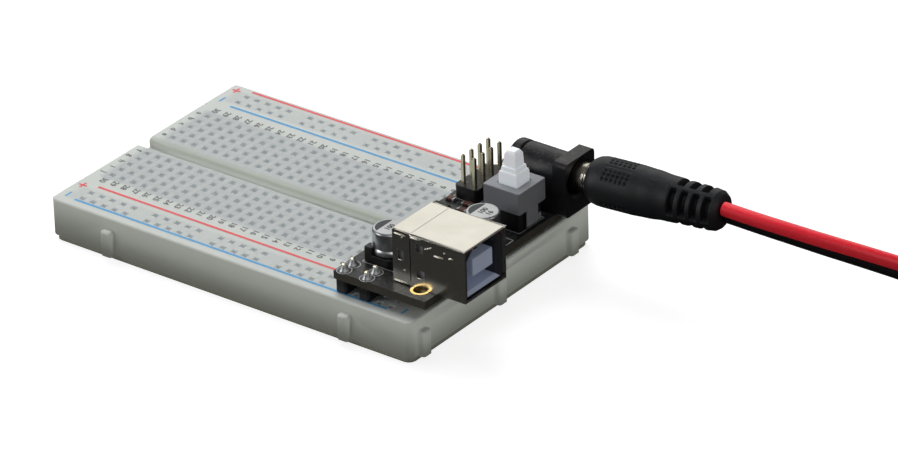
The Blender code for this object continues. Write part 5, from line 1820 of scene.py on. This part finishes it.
def push_switch():
    """Grey switch body over its black base, with the white stepped plunger and the bent leg."""
    low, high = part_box("switch_base")
    bm = bmesh.new()
    wall = 1.1 * MM
    outer = rounded_rectangle((low.x, low.y), (high.x, high.y), 0.2 * MM, 2)
    inner = rounded_rectangle(
        (low.x + wall, low.y + wall), (high.x - wall, high.y - wall), 0.15 * MM, 2
    )
    floor = low.z + 0.85 * MM
    rings = [
        [Vector((x, y, low.z)) for x, y in outer],
        [Vector((x, y, high.z)) for x, y in outer],
        [Vector((x, y, high.z)) for x, y in inner],
        [Vector((x, y, floor)) for x, y in inner],
    ]
    loft(bm, rings)
    made = piece("switch_base_block", bm, BLACK, "power_module", ["switch_base"])
    ease_edges(made, 0.1 * MM, 2)

    low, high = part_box("switch_body")
    grown = Vector((0.15, 0.15, 0.0)) * MM
    low, high = low - grown, high + grown + Vector((0.0, 0.0, 0.4 * MM))
    foot_low, foot_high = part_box("switch_plunger")
    centre = (foot_low + foot_high) / 2
    well = (foot_high.x - foot_low.x) / 2 + 0.25 * MM
    body_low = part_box("switch_base")[1].z + 0.1 * MM
    outer = rounded_rectangle((low.x, low.y), (high.x, high.y), 0.35 * MM, 4)
    inner = rounded_rectangle(
        (centre.x - well, centre.y - well), (centre.x + well, centre.y + well), 0.3 * MM, 4
    )
    bm = bmesh.new()
    rings = [
        [Vector((x, y, body_low)) for x, y in inner],
        [Vector((x, y, body_low)) for x, y in outer],
        [Vector((x, y, high.z)) for x, y in outer],
        [Vector((x, y, high.z)) for x, y in inner],
        [Vector((x, y, body_low)) for x, y in inner],
    ]
    loft(bm, rings, closed=False)
    bmesh.ops.remove_doubles(bm, verts=bm.verts, dist=0.001 * MM)
    inside = high.x - 0.4 * MM
    half_leg, foot_end = 1.7 * MM, 2.6 * MM
    leg_top, foot_top = body_low + 0.2 * MM, low.z + 1.5 * MM
    block(bm, (inside, centre.y - half_leg, low.z), (high.x, centre.y + half_leg, leg_top))
    block(bm, (inside, centre.y + half_leg, low.z), (high.x, centre.y + foot_end, foot_top))
    made = piece(
        "switch_body_cover", bm, GREY_PLASTIC, "power_module", ["switch_body"]
    )
    ease_edges(made, 0.3 * MM, 4)

    step = foot_high.z - 3.5 * MM
    levels = [
        (foot_low.z, 2.0),
        (step - 1.0 * MM, 2.0),
        (step - 0.55 * MM, 1.86),
        (step - 0.5 * MM, 1.7),
        (step + 0.3 * MM, 1.6),
        (step + 0.4 * MM, 1.36),
        (foot_high.z - 0.75 * MM, 1.24),
        (foot_high.z, 0.8),
    ]
    rings = pin_rings(centre.x, centre.y, [(z, half * MM) for z, half in levels])
    bm = bmesh.new()
    loft(bm, rings)
    made = piece(
        "switch_plunger_button", bm, WHITE_PLASTIC, "plunger", ["switch_plunger"]
    )
    ease_edges(made, 0.14 * MM, 3)


def return_spring():
    """Coil spring under the plunger."""
    low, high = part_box("switch_spring")
    centre = (low + high) / 2
    wire = 0.15 * MM
    coil = (high.x - low.x) / 2 - wire
    turns, steps, sides = 4, 26, 10
    rings = []
    for index in range(turns * steps + 1):
        angle = 2 * math.pi * index / steps
        height = low.z + wire + (high.z - low.z - 2 * wire) * index / (turns * steps)
        out = Vector((math.cos(angle), math.sin(angle), 0.0))
        middle = Vector((centre.x, centre.y, height)) + out * coil
        ring = []
        for around in ring_angles(sides):
            ring.append(
                middle + out * wire * math.cos(around) + Vector((0.0, 0.0, wire * math.sin(around)))
            )
        rings.append(ring)
    bm = bmesh.new()
    loft(bm, rings)
    made = piece("return_spring", bm, STEEL, "power_module", ["switch_spring"], 0)
    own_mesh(made)


def jack_outline(half, foot, steps=28):
    """Round top, straight sides and a flat foot, as (y, z) from the bore's axis."""
    points = [(-half, foot), (half, foot)]
    for step in range(steps + 1):
        angle = math.pi * step / steps
        points.append((half * math.cos(angle), half * math.sin(angle)))
    return points


def dc_jack():
    """Jack body with a square flange, a round-backed barrel and a separate rear cap."""
    low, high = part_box("jack_housing")
    cap_low, cap_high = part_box("jack_rear_cap")
    axis = Vector((0.0, (low.y + high.y) / 2, PLUG_PIVOT.z))
    bore = 3.25 * MM
    flange = high.x - 3.3 * MM
    high.x -= 0.4 * MM
    foot = low.z - axis.z
    half = (cap_high.y - cap_low.y) / 2

    def section(x, grow=0.0):
        outline = jack_outline(half + grow, foot)
        return [Vector((x, axis.y + y, axis.z + z)) for y, z in outline]

    bm = bmesh.new()
    loft(bm, [section(low.x), section(flange + 0.2 * MM)])
    made = piece("jack_barrel_moulding", bm, JACK_BLACK, "power_module")
    ease_edges(made, 0.2 * MM, 3)

    bm = bmesh.new()
    outer = rounded_rectangle((low.y, low.z), (high.y, high.z), 0.9 * MM, 7)
    around = ring_angles(len(outer))
    shift = -math.pi / 4 - math.pi / len(outer)
    circle = [
        ((bore + 0.7 * MM) * math.cos(angle + shift), (bore + 0.7 * MM) * math.sin(angle + shift))
        for angle in around
    ]

    def ring(x, radius):
        scale = radius / (bore + 0.7 * MM)
        return [Vector((x, axis.y + y * scale, axis.z + z * scale)) for y, z in circle]

    rings = [
        [Vector((flange, y, z)) for y, z in outer],
        [Vector((high.x, y, z)) for y, z in outer],
        ring(high.x, bore + 0.7 * MM),
        ring(high.x - 0.5 * MM, bore),
        ring(high.x - 9.8 * MM, bore),
    ]
    loft(bm, rings)
    made = piece(
        "jack_flange_moulding", bm, JACK_BLACK, "power_module", ["jack_housing"]
    )
    ease_edges(made, 0.5 * MM, 4)

    bm = bmesh.new()
    loft(bm, [section(cap_low.x, 0.03 * MM), section(cap_high.x, 0.03 * MM)])
    made = piece(
        "jack_rear_cover", bm, JACK_BLACK, "power_module", ["jack_rear_cap"]
    )
    ease_edges(made, 0.3 * MM, 4)


def regulators():
    """Moulded regulators with three legs; their solder tab is not drawn."""
    for number in (1, 2):
        node = f"regulator_{number}"
        low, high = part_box(node)
        bm = bmesh.new()
        waist = low.z + 0.85 * MM
        ease = 0.18 * MM
        levels = ((low.z, ease), (waist, 0.0), (high.z, ease))
        rings = []
        for z, inset in levels:
            corners = (
                (low.x + inset, low.y + inset),
                (high.x - inset, low.y + inset),
                (high.x - inset, high.y - inset),
                (low.x + inset, high.y - inset),
            )
            rings.append([Vector((x, y, z)) for x, y in corners])
        loft(bm, rings)
        made = piece(f"{node}_body", bm, EPOXY, "power_module", [node])
        ease_edges(made, 0.08 * MM, 2)
        legs = bmesh.new()
        middle = (low.y + high.y) / 2
        half, pitch = 0.35 * MM, 2.3 * MM
        root, knee, bend, toe = (high.x + out * MM for out in (-0.1, 0.3, 0.5, 1.1))
        sole, instep = low.z - 0.08 * MM, low.z + 0.12 * MM
        under, over = waist - 0.15 * MM, waist + 0.1 * MM
        for y in (middle - pitch, middle, middle + pitch):
            block(legs, (root, y - half, under), (bend, y + half, over))
            block(legs, (knee, y - half, sole), (bend, y + half, waist))
            block(legs, (knee, y - half, sole), (toe, y + half, instep))
        piece(f"{node}_legs", legs, TIN, "power_module")


def chip_parts():
    """Small surface-mounted resistors and capacitors with tinned ends."""
    size = Vector((2.0, 1.25, 0.55)) * MM
    places = (
        (24.5, 7.6, 0),
        (28.3, 7.5, 0),
        (32.4, 6.3, 90),
        (32.4, -4.0, 90),
        (32.2, -8.3, 90),
        (28.9, 5.2, 0),
        (36.2, -7.4, 0),
    )
    bm = bmesh.new()
    for x, y, angle in places:
        half = size / 2 if not angle else Vector((size.y, size.x, size.z)) / 2
        z = PCB_HIGH.z + 0.03 * MM
        middle = Vector((x, y, 0.0)) * MM
        cap = 0.4 * MM
        cap_x, cap_y = (0, cap) if angle else (cap, 0)
        block(
            bm,
            (middle.x - half.x + cap_x, middle.y - half.y + cap_y, z),
            (middle.x + half.x - cap_x, middle.y + half.y - cap_y, z + size.z),
            0,
        )
        for way in (-1, 1):
            if angle:
                reach = Vector((0.0, way * (half.y - cap / 2), 0.0))
            else:
                reach = Vector((way * (half.x - cap / 2), 0.0, 0.0))
            end = Vector((half.x, cap / 2, 0.0)) if angle else Vector((cap / 2, half.y, 0.0))
            centre = middle + reach
            block(
                bm,
                (centre.x - end.x, centre.y - end.y, z - 0.02 * MM),
                (centre.x + end.x, centre.y + end.y, z + size.z + 0.02 * MM),
                1,
            )
    made = piece("chip_parts", bm, [CHIP_BROWN, SOLDER], "power_module")
    ease_edges(made, 0.06 * MM, 2)


def underside_joints():
    """Solder joints of the through-hole parts, below the circuit board."""
    bm = bmesh.new()
    places = []
    for node in [f"selector_pin_{c}_{r}" for c in (1, 2) for r in (1, 2, 3, 4)]:
        low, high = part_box(node)
        places.append(((low.x + high.x) / 2, (low.y + high.y) / 2))
    low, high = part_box("switch_base")
    rows = (low.y + MM, low.y + 3.4 * MM, high.y - MM)
    places += [(x, y) for x in (low.x + MM, high.x - MM) for y in rows]
    low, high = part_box("jack_housing")
    places += [(low.x + 1.5 * MM, (low.y + high.y) / 2), (low.x + 7.5 * MM, (low.y + high.y) / 2)]
    low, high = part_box("usb_shell")
    places += [(low.x + 2.0 * MM, low.y + 4.7 * MM), (low.x + 2.0 * MM, low.y + 7.3 * MM)]
    for x, y in places:
        profile = [(0.0, 0.75), (0.25, 0.62), (0.6, 0.42), (0.95, 0.3), (1.1, 0.12)]
        turned = Matrix.Translation((x, y, PCB_LOW.z)) @ Matrix.Rotation(math.pi / 2, 4, "Y")
        turn(bm, [(a * MM, r * MM) for a, r in profile], 20, turned)
    piece("underside_solder_joints", bm, SOLDER, "power_module")


def power_light():
    """Chip light: a tinted lens block over a tinned base."""
    low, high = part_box("power_light")
    bm = bmesh.new()
    block(bm, low, (high.x, high.y, low.z + 0.3 * MM), 1)
    inset = 0.3 * MM
    block(bm, (low.x + inset, low.y, low.z + 0.3 * MM), (high.x - inset, high.y, high.z), 0)
    made = piece(
        "power_light_lens", bm, [LENS, SOLDER], "power_module", ["power_light"]
    )
    ease_edges(made, 0.08 * MM, 2)


def finish_cad_nodes():
    """Give every node of the frame its slot's finish."""
    slots = {entry["node"]: entry["material_slot"] for entry in frame["record"]["subparts"]}
    for name, node in frame["nodes"].items():
        node.data.materials.clear()
        node.data.materials.append(SLOT_FINISH[slots[name]])


camera()
studio()
finish_cad_nodes()
plug()
coil_strap()
lead()
housing()
printed_lines()
printed_characters()
rail_pins()
rail_header_blocks()
selector_header()
screw_hole_ring()
board_legend()
usb_shell()
usb_insulator()
capacitors()
capacitor_bases()
push_switch()
return_spring()
dc_jack()
regulators()
chip_parts()
underside_joints()
power_light()

bpy.context.view_layer.update()
